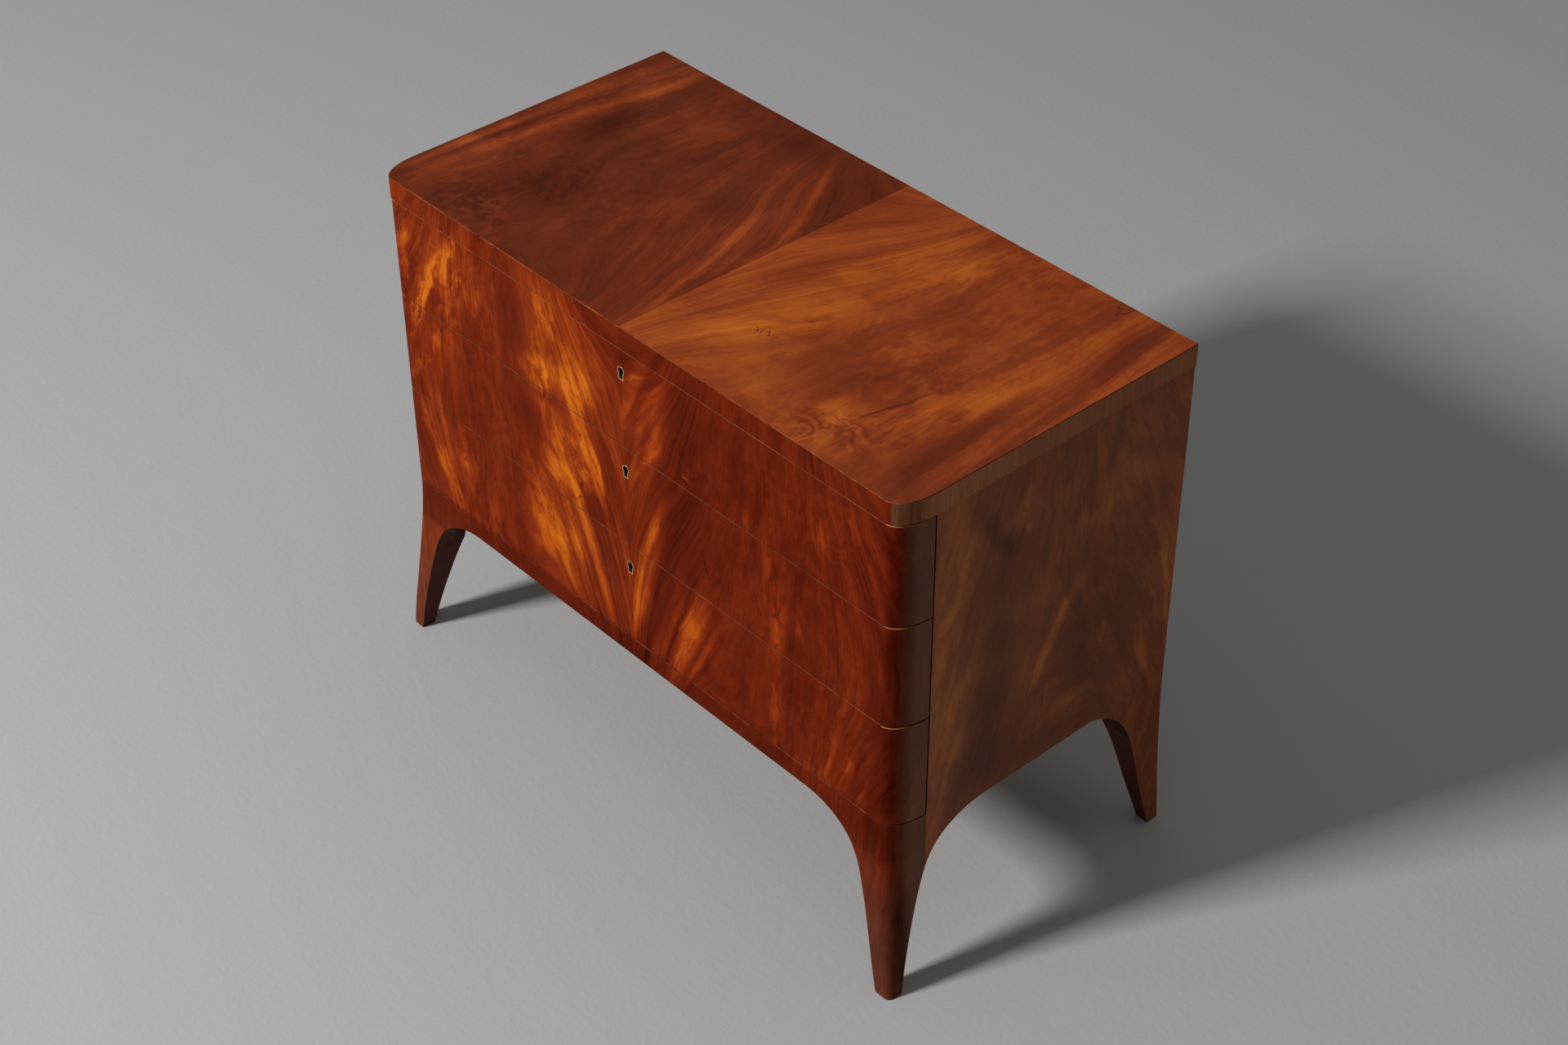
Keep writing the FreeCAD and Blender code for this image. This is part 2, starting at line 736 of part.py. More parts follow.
def drawer_pieces(level):
    """Every piece of one drawer, as a list of names and shapes."""
    at = drawer_heights(level)
    side = drawer_side(at)
    other_side = mirrored(side)
    block = corner_block(at)
    back = box(-box_x, box_x, box_back_y - box_thick, box_back_y, at.floor, at.back_top)
    pieces = [
        ("front", drawer_front(at, (side, other_side))),
        ("corner_blocks", Part.makeCompound([block, mirrored(block)])),
        ("side_left", other_side),
        ("side_right", side),
        ("back", back.cut(side).cut(other_side)),
        ("bottom", drawer_bottom(at)),
    ]
    fittings = [
        ("escutcheon", escutcheon()),
        ("lock_case", lock_case()),
        ("lock_bolt", lock_bolt()),
        ("lock_screws", Part.makeCompound(lock_screw_set())),
    ]
    for part, shape in fittings:
        shape.translate(at.key)
        pieces.append((part, shape))
    return pieces


def case_pieces():
    """Every piece of the case that doesn't move, as a list of names and shapes."""
    pieces = [("top_panel", top_panel())]
    pairs = [
        ("side_panel", side_panel()),
        ("front_leg", front_leg()),
        ("rear_leg", rear_leg()),
        ("runner_upper", runner(seams[1])),
        ("runner_lower", runner(seams[2])),
        ("kicker", kicker()),
    ]
    for name, shape in pairs:
        pieces += [(name + "_left", mirrored(shape)), (name + "_right", shape)]
    pieces += [
        ("front_apron", front_apron()),
        ("rear_apron", rear_apron()),
        ("bottom_board", bottom_board()),
        ("divider_rail_upper", rail_between(seams[1])),
        ("divider_rail_lower", rail_between(seams[2])),
        ("top_rail_front", top_rail_front()),
        ("top_rail_back", top_rail_back()),
        ("glue_blocks", Part.makeCompound(glue_blocks())),
        ("top_screws", Part.makeCompound(top_screws())),
        ("back_nails", Part.makeCompound(nails())),
    ]
    for place, board in zip(("left", "middle", "right"), back_boards()):
        pieces.append(("back_board_" + place, board))
    return pieces


def main():
    """Writes each piece to its own file and prints the size of the whole."""
    os.makedirs("parts", exist_ok=True)
    pieces = case_pieces()
    for level, name in enumerate(drawer_names):
        pieces += [(name + "_" + part, shape) for part, shape in drawer_pieces(level)]
    whole = FreeCAD.BoundBox()
    for name, shape in pieces:
        solids = shape.Solids
        if not solids or not all(solid.isValid() for solid in solids):
            print("unsound piece:", name, len(solids))
        shape.exportStep(os.path.join("parts", name + ".step"))
        whole.add(shape.BoundBox)
    print(len(pieces), "pieces;", "whole", round(whole.XLength, 1), round(whole.YLength, 1),
          round(whole.ZLength, 1), "low", round(whole.ZMin, 3))


main()
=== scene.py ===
"""A chest of three drawers in book-matched flame mahogany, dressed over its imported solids.

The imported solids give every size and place, in metres, with +Z up and the drawers opening
towards -Y. Each piece that shows gets a finer copy with eased edges, and each finish is built
from nodes on object coordinates, so the figure of the veneer runs on from drawer to drawer.
"""

import logging
import math
from dataclasses import dataclass
from enum import Enum
from typing import Union

import bmesh
import bpy
from mathutils import Matrix, Vector


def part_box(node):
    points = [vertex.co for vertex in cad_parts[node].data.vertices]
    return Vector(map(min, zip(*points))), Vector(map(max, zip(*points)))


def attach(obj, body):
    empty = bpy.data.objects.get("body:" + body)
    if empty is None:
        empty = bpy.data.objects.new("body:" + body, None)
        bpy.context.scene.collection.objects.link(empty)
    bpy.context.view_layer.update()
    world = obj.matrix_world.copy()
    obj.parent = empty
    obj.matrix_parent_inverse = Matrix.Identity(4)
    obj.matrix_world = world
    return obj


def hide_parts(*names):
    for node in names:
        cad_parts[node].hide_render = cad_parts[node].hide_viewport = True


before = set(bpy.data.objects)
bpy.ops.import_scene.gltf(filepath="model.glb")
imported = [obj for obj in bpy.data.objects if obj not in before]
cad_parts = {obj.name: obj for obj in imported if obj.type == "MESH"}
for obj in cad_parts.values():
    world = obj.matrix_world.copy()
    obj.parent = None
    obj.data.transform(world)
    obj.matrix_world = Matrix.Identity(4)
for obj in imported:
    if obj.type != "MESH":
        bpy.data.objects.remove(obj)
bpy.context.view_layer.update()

LOG = logging.getLogger("chest")
Number = Union[float, "Val"]
Colour = tuple[float, float, float]
Place = tuple[float, float, float]
Stops = tuple[tuple[float, Colour], ...]
Output = Union[bpy.types.NodeSocket, list[bpy.types.NodeSocket]]
Paint = Union[Colour, bpy.types.NodeSocket]
NOISE_MIDDLE = 0.5
NOISE_REACH = 3.2


class Axis(Enum):
    """A direction of the chest: across it, from front to back, and upward."""

    X = 0
    Y = 1
    Z = 2


class Val:
    """A number in a material's nodes, whose sums write themselves as Math nodes."""

    def __init__(self, graph: "Tree", socket: bpy.types.NodeSocket) -> None:
        """Wraps one output socket.

        Args:
            graph: The graph that the socket belongs to.
            socket: The output socket with the number.
        """
        self.graph = graph
        self.socket = socket

    def _math(self, operation: str, *values: Number) -> "Val":
        """The result of one Math node, whose sockets get the values in order."""
        sockets = dict(enumerate(values))
        return Val(self.graph, self.graph.node("ShaderNodeMath", {"operation": operation}, sockets))

    def __add__(self, other: Number) -> "Val":
        """This number plus another."""
        return self._math("ADD", self, other)

    __radd__ = __add__

    def __sub__(self, other: Number) -> "Val":
        """This number less another."""
        return self._math("SUBTRACT", self, other)

    def __rsub__(self, other: Number) -> "Val":
        """Another number less this one."""
        return self._math("SUBTRACT", other, self)

    def __mul__(self, other: Number) -> "Val":
        """This number times another."""
        return self._math("MULTIPLY", self, other)

    __rmul__ = __mul__

    def __truediv__(self, other: Number) -> "Val":
        """This number divided by another."""
        return self._math("DIVIDE", self, other)

    def size(self) -> "Val":
        """This number without its sign."""
        return self._math("ABSOLUTE", self)

    def above(self, low: float) -> "Val":
        """This number, or a lower bound where it falls below that."""
        return self._math("MAXIMUM", self, low)

    def wave(self) -> "Val":
        """The sine of this number."""
        return self._math("SINE", self)

    def bell(self) -> "Val":
        """A soft hill: 1 where this number is zero, and falling to nothing either way."""
        return self._math("EXPONENT", self * self * -1.0)

    def step(self, start: float, end: float) -> "Val":
        """A soft step from 0 at the start to 1 at the end.

        Args:
            start: Where the step leaves 0.
            end: Where it reaches 1, which may lie below the start.

        Returns:
            The step's height.
        """
        settings = {"interpolation_type": "SMOOTHSTEP"}
        low, high, first, last = (start, end, 0.0, 1.0) if start < end else (end, start, 1.0, 0.0)
        sockets = {0: self, 1: low, 2: high, 3: first, 4: last}
        return Val(self.graph, self.graph.node("ShaderNodeMapRange", settings, sockets))


class Tree:
    """A node tree, whose every node comes from one method."""

    def __init__(self, tree: bpy.types.NodeTree) -> None:
        """Wraps a node tree."""
        self.tree = tree

    def node(self, kind: str, settings: dict[str, object], sockets: dict[Union[int, str], object],
             output: Union[int, str, None] = 0) -> Output:
        """Adds a node.

        Args:
            kind: The node's type.
            settings: Its settings, which are set first; "stops" are a colour ramp's.
            sockets: Values or links of its input sockets, by number or name.
            output: Which output socket to give back, or None for all of them.

        Returns:
            The output socket, or the list of them.
        """
        made = self.tree.nodes.new(kind)
        for name, value in settings.items():
            if name == "stops":
                self.set_stops(made.color_ramp.elements, value)
            else:
                setattr(made, name, value)
        for key, value in sockets.items():
            self.feed(made.inputs[key], value)
        return list(made.outputs) if output is None else made.outputs[output]

    @staticmethod
    def set_stops(points: bpy.types.ColorRampElements, stops: Stops) -> None:
        """Gives a colour ramp its stops.

        Args:
            points: The ramp's own stops.
            stops: Places and colours, in rising order.
        """
        while len(points) < len(stops):
            points.new(0.5)
        for point, (place, colour) in zip(points, stops):
            point.position = place
            point.color = (*colour, 1.0)

    def feed(self, socket: bpy.types.NodeSocket, value: object) -> None:
        """Links a value to a socket, or sets it there.

        Args:
            socket: The input socket.
            value: A Val, an output socket, a number, a vector or a colour.
        """
        if isinstance(value, Val):
            self.tree.links.new(value.socket, socket)
        elif isinstance(value, bpy.types.NodeSocket):
            self.tree.links.new(value, socket)
        elif isinstance(value, tuple) and socket.type == "RGBA":
            socket.default_value = (*value, 1.0)
        else:
            socket.default_value = value


@dataclass(frozen=True)
class Grain:
    """One layer of noise in the wood.

    Attributes:
        across: How many lumps there are to a metre across the fibres.
        along: How many there are along them.
        detail: How many finer layers it has.
        rough: How strong the finer layers are.
        twist: How far it is distorted.
        start: Where it starts across the fibres, in lumps.
    """

    across: float
    along: float
    detail: float = 2.0
    rough: float = 0.5
    twist: float = 0.0
    start: float = 0.0


class Graph(Tree):
    """The nodes of one material, round one Principled shader."""

    def __init__(self, name: str) -> None:
        """Starts an empty material.

        Args:
            name: The material's name.
        """
        self.material = bpy.data.materials.new(name)
        self.material.use_nodes = True
        super().__init__(self.material.node_tree)
        self.shader = self.tree.nodes["Principled BSDF"]
        point = self.node("ShaderNodeTexCoord", {}, {}, "Object")
        self.place = [Val(self, part) for part in self.node("ShaderNodeSeparateXYZ", {}, {0: point}, None)]

    def vector(self, x: Number, y: Number, z: Number) -> bpy.types.NodeSocket:
        """Joins three numbers into a vector socket."""
        return self.node("ShaderNodeCombineXYZ", {}, {0: x, 1: y, 2: z})

    def noise(self, layer: Grain, x: Val, y: Val, z: Val) -> Val:
        """Noise about zero, mostly between -1 and 1.

        Args:
            layer: How fine it is.
            x: The place across the fibres.
            y: The depth, across them too.
            z: The place along them.

        Returns:
            The noise's value.
        """
        first = x * layer.across + layer.start if layer.start else x * layer.across
        sockets = {"Vector": self.vector(first, y * layer.across, z * layer.along), "Scale": 1.0,
                   "Detail": layer.detail, "Roughness": layer.rough, "Distortion": layer.twist}
        return (Val(self, self.node("ShaderNodeTexNoise", {}, sockets)) - NOISE_MIDDLE) * NOISE_REACH

    def ramp(self, value: Number, stops: Stops) -> bpy.types.NodeSocket:
        """The colour that a number from 0 to 1 has on a ramp with these stops."""
        return self.node("ShaderNodeValToRGB", {"stops": stops}, {0: value})

    def mix(self, share: Number, first: Paint, second: Paint) -> bpy.types.NodeSocket:
        """The first colour, with a share of the second mixed in."""
        settings = {"data_type": "RGBA", "clamp_factor": True}
        return self.node("ShaderNodeMix", settings, {0: share, 6: first, 7: second}, 2)

    def bump(self, height: Number, depth: float, strength: float) -> None:
        """Roughens the surface with a relief of 1 for each depth in metres, of which a share shows."""
        sockets = {"Height": height, "Distance": depth, "Strength": strength}
        self.finish(Normal=self.node("ShaderNodeBump", {}, sockets))

    def finish(self, **sockets: object) -> bpy.types.Material:
        """Feeds the shader's own sockets.

        Args:
            sockets: Their values or links, by name, with _ for a space.

        Returns:
            The material.
        """
        for name, value in sockets.items():
            self.feed(self.shader.inputs[name.replace("_", " ")], value)
        return self.material


@dataclass(frozen=True)
class Patch:
    """A light or dark place in the figure, with sizes in millimetres.

    Attributes:
        line: Its middle's distance from the joint.
        height: Its middle's height up the leaf.
        wide: Half its width.
        tall: Half its length.
        tone: How much lighter or darker it is.
        lean: How far it drifts from the joint for each millimetre that it rises.
        soft: How much of its half width its edge takes up.
        whole: Whether it is one smooth streak, and not torn by the clouds.
    """

    line: float
    height: float
    wide: float
    tall: float
    tone: float
    lean: float = 0.0
    soft: float = 1.0
    whole: bool = False


def torn_patches(*rows: tuple[float, ...]) -> tuple[Patch, ...]:
    """Patches whose edges the clouds tear, from rows of their fields in order."""
    return tuple(Patch(*row) for row in rows)


def smooth_streaks(*rows: tuple[float, ...]) -> tuple[Patch, ...]:
    """Patches that the clouds leave whole, from rows of their fields in order."""
    return tuple(Patch(*row, whole=True) for row in rows)


@dataclass(frozen=True)
class Fan:
    """How the fibres of a leaf run, as they fan out from the joint and bend at its far end.

    Attributes:
        pivot: The height at which the fibres keep their place, in metres.
        lean: How far every fibre drifts from the joint as it rises.
        spread: How much more the fibres of the fan drift.
        middle: The fan's distance from the joint.
        reach: Half the fan's width.
        end_from: Where the far end starts, from the joint.
        end_lean: How far the fibres of the far end drift as they rise.
        end_bend: How much that changes over a metre.
        end_wide: Over what width the far end sets in.
    """

    pivot: float
    lean: float
    spread: float
    middle: float
    reach: float
    end_from: float
    end_lean: float
    end_bend: float
    end_wide: float = 0.16

    def line(self, a: Val, v: Val) -> Val:
        """Gives the fibre line that passes through a place.

        Args:
            a: The distance from the joint.
            v: The height up the leaf.

        Returns:
            The fibre's distance from the joint at the pivot's height.
        """
        rise = v - self.pivot
        bent = v.above(0.0) - self.pivot
        way = ((a - self.middle) / self.reach).bell() * self.spread + self.lean
        ends = a.step(self.end_from, self.end_from + self.end_wide)
        return a - rise * way - ends * bent * (bent * self.end_bend + self.end_lean)


Spots = dict[float, bpy.types.NodeSocket]
PORE_DARK: Colour = (0.030, 0.008, 0.004)
# The grey-brown of a painted floor reflection, mixed into veneer that faces away from the lamp.
PAINTED_FLOOR_REFLECTION: Colour = (0.175, 0.108, 0.088)
MM_PER_M = 1000
# A patch's edge, how the clouds tear it, and the joint's dark line, in metres.
SOFT_OUTSIDE, SOFT_INSIDE = 0.7, 0.9
TORN_SHARE, TORN_REST = 0.6, 0.66
CALM_SHARE, CALM_REST = 0.25, 0.85
JOINT_EDGE, JOINT_WIDE, JOINT_SHARE = 0.0001, 0.0006, 0.5
# How far the slow layers bend the fibres, in metres, and how strongly each layer shows.
DRIFT_BEND, SWIRL_BEND = 0.011, 0.0028
FAN_QUIET, HEART_QUIET = 0.6, 0.75
FINE_STREAKS, FAN_STREAKS = 0.55, 0.50
HEART_CLOUDS, OTHER_CLOUDS = 0.7, 0.3
FEATHER_TONE, TORN_TONE = 0.40, 0.5
FEATHER_TEAR, BANDS_TEAR, TEAR_EDGE = 0.35, 0.25, (-0.34, 0.26)
SMOKE_TONE, FIBRE_TONE, FLECK_TONE = 0.10, 0.035, 0.055
# How far the layers push the edges of patches about, in metres.
STREAKS_ROUGH, CLOUDS_ROUGH, DRIFT_ROUGH = 0.0035, 0.010, 0.006
CLOUDS_RISE, FEATHER_RISE = 0.014, 0.006
STREAKS_CALM, SWIRL_CALM = 0.0012, 0.0015
# Curls, browning, the painted floor reflection past the corner's turn, the darker feet and the pores.
CURL_TURNS, CURL_TEAR = 11.0, 1.2
SMOKE_BROWN, BANDS_BROWN = 0.10, 0.06
TURN_REFLECTION_LIGHT, TURN_REFLECTION_BROWN, TURN_REFLECTION_SHARE = 0.34, 0.80, 0.45
# Towards the feet the veneer is darker and browner, with a share of the painted floor-reflection colour.
FOOT_DARK, FOOT_BROWN, FOOT_REFLECTION_SHARE = 0.15, 0.45, 0.08
PORE_EDGE, PORE_SHARE = (0.5, 1.0), 0.22
# Where the clouds start, and how the layers shift or slant one another.
CLOUD_START = 0.5
CLOUD_SHIFT = 0.25 / 17.0
FEATHER_SHIFT = 0.8 / 75.0
FEATHER_SLANT = 22.0 / 30.0
# The layers of noise in the figure.
DRIFT = Grain(5.0, 5.0)
SWIRL = Grain(19.0, 15.0, 3.0, 0.6, 0.5, 7.0)
BANDS = Grain(30.0, 2.4, 3.0, 0.55, 0.3)
STREAKS = Grain(150.0, 4.5, 4.0, 0.62, start=3.0)
CLOUDS = Grain(17.0, 8.0, 7.0, 0.66, 0.9)
SMOKE = Grain(4.5, 4.0, 4.0, 0.55, 0.8, 11.0)
FEATHER = Grain(75.0, 30.0, 4.0, 0.6, 0.4)
FLECK = Grain(330.0, 60.0, 3.0, 0.7, start=9.0)
FIBRE = Grain(800.0, 22.0, 2.0, 0.6)
RINGS = Grain(17.0, 17.0, 2.0, 0.5, 0.7)
PORES = Grain(600.0, 13.0, 1.0, start=5.0)


@dataclass(frozen=True)
class Sheet:
    """How a sheet of figured veneer lies on a face, and what shows in it.

    Attributes:
        across: The axis across the fibres.
        along: The axis that the fibres run along.
        depth: The axis square to the face.
        joint: Where the joint, or the first edge, lies on the axis across, in metres.
        foot: Where the heights on the leaf are measured from, in metres.
        matched: Whether a second leaf mirrors the first at the joint.
        fan: How the fibres run.
        heart: The distance of the cloudy middle from the joint, and half its width, in metres.
        base: The tone of the left and of the right leaf, between dark 0 and light 1.
        streaks: How strong the long streaks are.
        cloud: How strong the cloudy figure in the middle is.
        brown: How brown rather than red it is.
        turn: Where it turns the corner on the axis of depth. Past this point it is painted lighter, browner
            and greyer, as a painted floor reflection on its shaded face.
        toward_feet: The heights between which it grows darker and browner, with a little of the painted
            floor reflection's colour, down to the feet.
        left: The patches of the left leaf, or of the whole sheet.
        right: The patches of the right leaf.
        curls: Where the figure curls round knots.
    """

    across: Axis
    along: Axis
    depth: Axis
    joint: float
    foot: float
    matched: bool
    fan: Fan
    heart: tuple[float, float]
    base: tuple[float, float]
    streaks: float
    cloud: float
    brown: float
    left: tuple[Patch, ...] = ()
    right: tuple[Patch, ...] = ()
    curls: tuple[Patch, ...] = ()
    turn: tuple[float, ...] = ()
    toward_feet: tuple[float, ...] = ()

    def colour(self, graph: Graph) -> tuple[bpy.types.NodeSocket, Val]:
        """Draws the figure.

        Args:
            graph: The material's nodes.

        Returns:
            The colour's socket, and the fine relief of the fibres.
        """
        x = graph.place[self.across.value] - self.joint
        d = graph.place[self.depth.value]
        v = graph.place[self.along.value] - self.foot
        a = x.size() if self.matched else x
        drift = graph.noise(DRIFT, x, d, v)
        swirl = graph.noise(SWIRL, x, d, v)
        s = self.fan.line(a, v) + drift * DRIFT_BEND + swirl * SWIRL_BEND
        bands = graph.noise(BANDS, s, d, v)
        streaks = graph.noise(STREAKS, s, d, v)
        clouds = graph.noise(CLOUDS, s + swirl * CLOUD_SHIFT, d, v + CLOUD_START)
        smoke = graph.noise(SMOKE, x, d, v)
        feather = graph.noise(FEATHER, s + clouds * FEATHER_SHIFT, d, v + s * FEATHER_SLANT)
        fleck = graph.noise(FLECK, s, d, v)
        fibre = graph.noise(FIBRE, s, d, v)
        heart = ((a - self.heart[0]) / self.heart[1]).bell()
        fan = ((a - self.fan.middle) / self.fan.reach).bell()
        quiet = 1.0 - fan * FAN_QUIET
        fine = streaks * (self.streaks * FINE_STREAKS)
        tone = (1.0 - heart * HEART_QUIET) * (bands * self.streaks + fine)
        tone = tone + fan * streaks * (self.streaks * FAN_STREAKS)
        cloudy = clouds * self.cloud + feather * (self.cloud * FEATHER_TONE)
        tone = tone + (heart * HEART_CLOUDS + OTHER_CLOUDS) * quiet * cloudy
        torn = (clouds + feather * FEATHER_TEAR + bands * BANDS_TEAR).step(*TEAR_EDGE)
        tone = tone + smoke * SMOKE_TONE + fibre * FIBRE_TONE + fleck * FLECK_TONE
        tone = tone + quiet * (torn - 0.5) * (self.cloud * TORN_TONE)
        rough_a = a + streaks * STREAKS_ROUGH + clouds * CLOUDS_ROUGH + drift * DRIFT_ROUGH
        rough_v = v + clouds * CLOUDS_RISE + feather * FEATHER_RISE
        calm_a = a + drift * DRIFT_ROUGH + streaks * STREAKS_CALM + swirl * SWIRL_CALM
        ragged = self.slants(graph, rough_a, rough_v)
        calm = self.slants(graph, calm_a, v)
        left, right = (self.leaf(graph, (ragged, calm), torn, *leaf)
                       for leaf in zip((self.left, self.right), self.base))
        tone = tone + left
        if self.matched:
            tone = tone + x.step(-JOINT_EDGE, JOINT_EDGE) * (right - left)
        if self.curls:
            rings = graph.noise(RINGS, x, d, v)
            curl = (rings * CURL_TURNS + clouds * CURL_TEAR).wave()
            tone = tone + curl * self.patches(graph, ragged, self.curls)
        browning = smoke * SMOKE_BROWN - bands * BANDS_BROWN + self.brown
        colour = self.tint(graph, tone, browning, d, v)
        pores = graph.noise(PORES, s, d, v).step(*PORE_EDGE)
        colour = graph.mix(pores * PORE_SHARE, colour, PORE_DARK)
        if self.matched:
            seam = x.size().step(JOINT_WIDE, JOINT_EDGE)
            colour = graph.mix(seam * JOINT_SHARE, colour, PORE_DARK)
        return colour, fibre

    def slants(self, graph: Graph, a: Val, v: Val) -> Spots:
        """Slants the place on the leaf along each lean that the patches have.

        Args:
            graph: The material's nodes.
            a: The distance from the joint.
            v: The height up the leaf.

        Returns:
            The place for each lean.
        """
        leans = sorted({patch.lean for patch in self.left + self.right + self.curls})
        return {lean: graph.vector(a - v * lean, v, 0.0) for lean in leans}

    def tint(self, graph: Graph, tone: Val, browning: Val, d: Val, v: Val) -> bpy.types.NodeSocket:
        """Turns tones into colour, with a painted floor reflection past the corner, and darker and browner
        down the feet.

        Args:
            graph: The material's nodes.
            tone: The figure's tone.
            browning: How brown rather than red it is.
            d: The place on the axis of depth.
            v: The height up the leaf.

        Returns:
            The colour's socket.
        """
        if not self.turn:
            return graph.mix(browning, graph.ramp(tone, RED_TONES), graph.ramp(tone, BROWN_TONES))
        # Past the corner the shaded veneer is painted lighter, browner and greyer as a floor reflection.
        # Down the feet it is darker and browner, with a little of that colour.
        corner_reflection = d.step(*self.turn)
        lower_down = v.step(*self.toward_feet)
        tone = tone + corner_reflection * TURN_REFLECTION_LIGHT - lower_down * FOOT_DARK
        browning = browning + corner_reflection * TURN_REFLECTION_BROWN + lower_down * FOOT_BROWN
        colour = graph.mix(browning, graph.ramp(tone, RED_TONES), graph.ramp(tone, BROWN_TONES))
        return graph.mix(corner_reflection * TURN_REFLECTION_SHARE + lower_down * FOOT_REFLECTION_SHARE, colour, PAINTED_FLOOR_REFLECTION)

    def leaf(self, graph: Graph, places: tuple[Spots, Spots], torn: Val, group: tuple[Patch, ...],
             base: float) -> Number:
        """Sums the tone of one leaf: its ground, its torn patches and its whole streaks.

        Args:
            graph: The material's nodes.
            places: The place on the leaf, with torn edges and with calm ones.
            torn: How the clouds tear the patches, from 0 to 1.
            group: The leaf's patches.
            base: The leaf's ground tone.

        Returns:
            The leaf's tone.
        """
        ragged, whole = (self.patches(graph, spots, tuple(one for one in group if one.whole is calm))
                         for spots, calm in zip(places, (False, True)))
        return ragged * (torn * TORN_SHARE + TORN_REST) + whole * (torn * CALM_SHARE + CALM_REST) + base

    def patches(self, graph: Graph, spots: Spots, group: tuple[Patch, ...]) -> Number:
        """Sums the tones of a group of patches.

        Args:
            graph: The material's nodes.
            spots: The place on the leaf along the fibres of each lean.
            group: The patches.

        Returns:
            The tone that they add.
        """
        total = 0.0
        for patch in group:
            start = patch.line - patch.height * patch.lean
            sockets = {0: spots[patch.lean], 1: (MM_PER_M / patch.wide, MM_PER_M / patch.tall, 0.0),
                       2: (-start / patch.wide, -patch.height / patch.tall, 0.0)}
            place = graph.node("ShaderNodeVectorMath", {"operation": "MULTIPLY_ADD"}, sockets)
            far = Val(graph, graph.node("ShaderNodeVectorMath", {"operation": "LENGTH"},
                                        {0: place}, 1))
            edge = (1.0 + patch.soft * SOFT_OUTSIDE, 1.0 - patch.soft * SOFT_INSIDE)
            total = far.step(*edge) * patch.tone + total
        return total


RED_TONES: Stops = (
    (0.00, (0.030, 0.0028, 0.0008)),
    (0.15, (0.064, 0.0056, 0.0011)),
    (0.30, (0.092, 0.0090, 0.0017)),
    (0.42, (0.118, 0.0126, 0.0021)),
    (0.54, (0.160, 0.0180, 0.0028)),
    (0.66, (0.215, 0.0285, 0.0035)),
    (0.78, (0.290, 0.0480, 0.0040)),
    (0.90, (0.360, 0.0740, 0.0045)),
    (1.00, (0.425, 0.1020, 0.0052)),
)
BROWN_TONES: Stops = (
    (0.00, (0.042, 0.0140, 0.0070)),
    (0.20, (0.086, 0.0270, 0.0120)),
    (0.40, (0.142, 0.0420, 0.0170)),
    (0.60, (0.225, 0.0640, 0.0225)),
    (0.80, (0.340, 0.0980, 0.0280)),
    (1.00, (0.480, 0.1500, 0.0340)),
)
BAND_TONES: Stops = (
    (0.0, (0.110, 0.036, 0.016)),
    (0.5, (0.330, 0.112, 0.046)),
    (1.0, (0.560, 0.240, 0.120)),
)
# Tones of the eased edges, from dark through rubbed wear to painted highlight.
ARRIS_WEAR_AND_HIGHLIGHT_TONES: Stops = (
    (0.0, (0.040, 0.006, 0.002)),
    (0.35, (0.200, 0.050, 0.015)),
    (1.0, (0.520, 0.190, 0.060)),
)
SAWN_TONES: Stops = (
    (0.0, (0.020, 0.006, 0.005)),
    (0.5, (0.075, 0.019, 0.013)),
    (1.0, (0.180, 0.055, 0.034)),
)

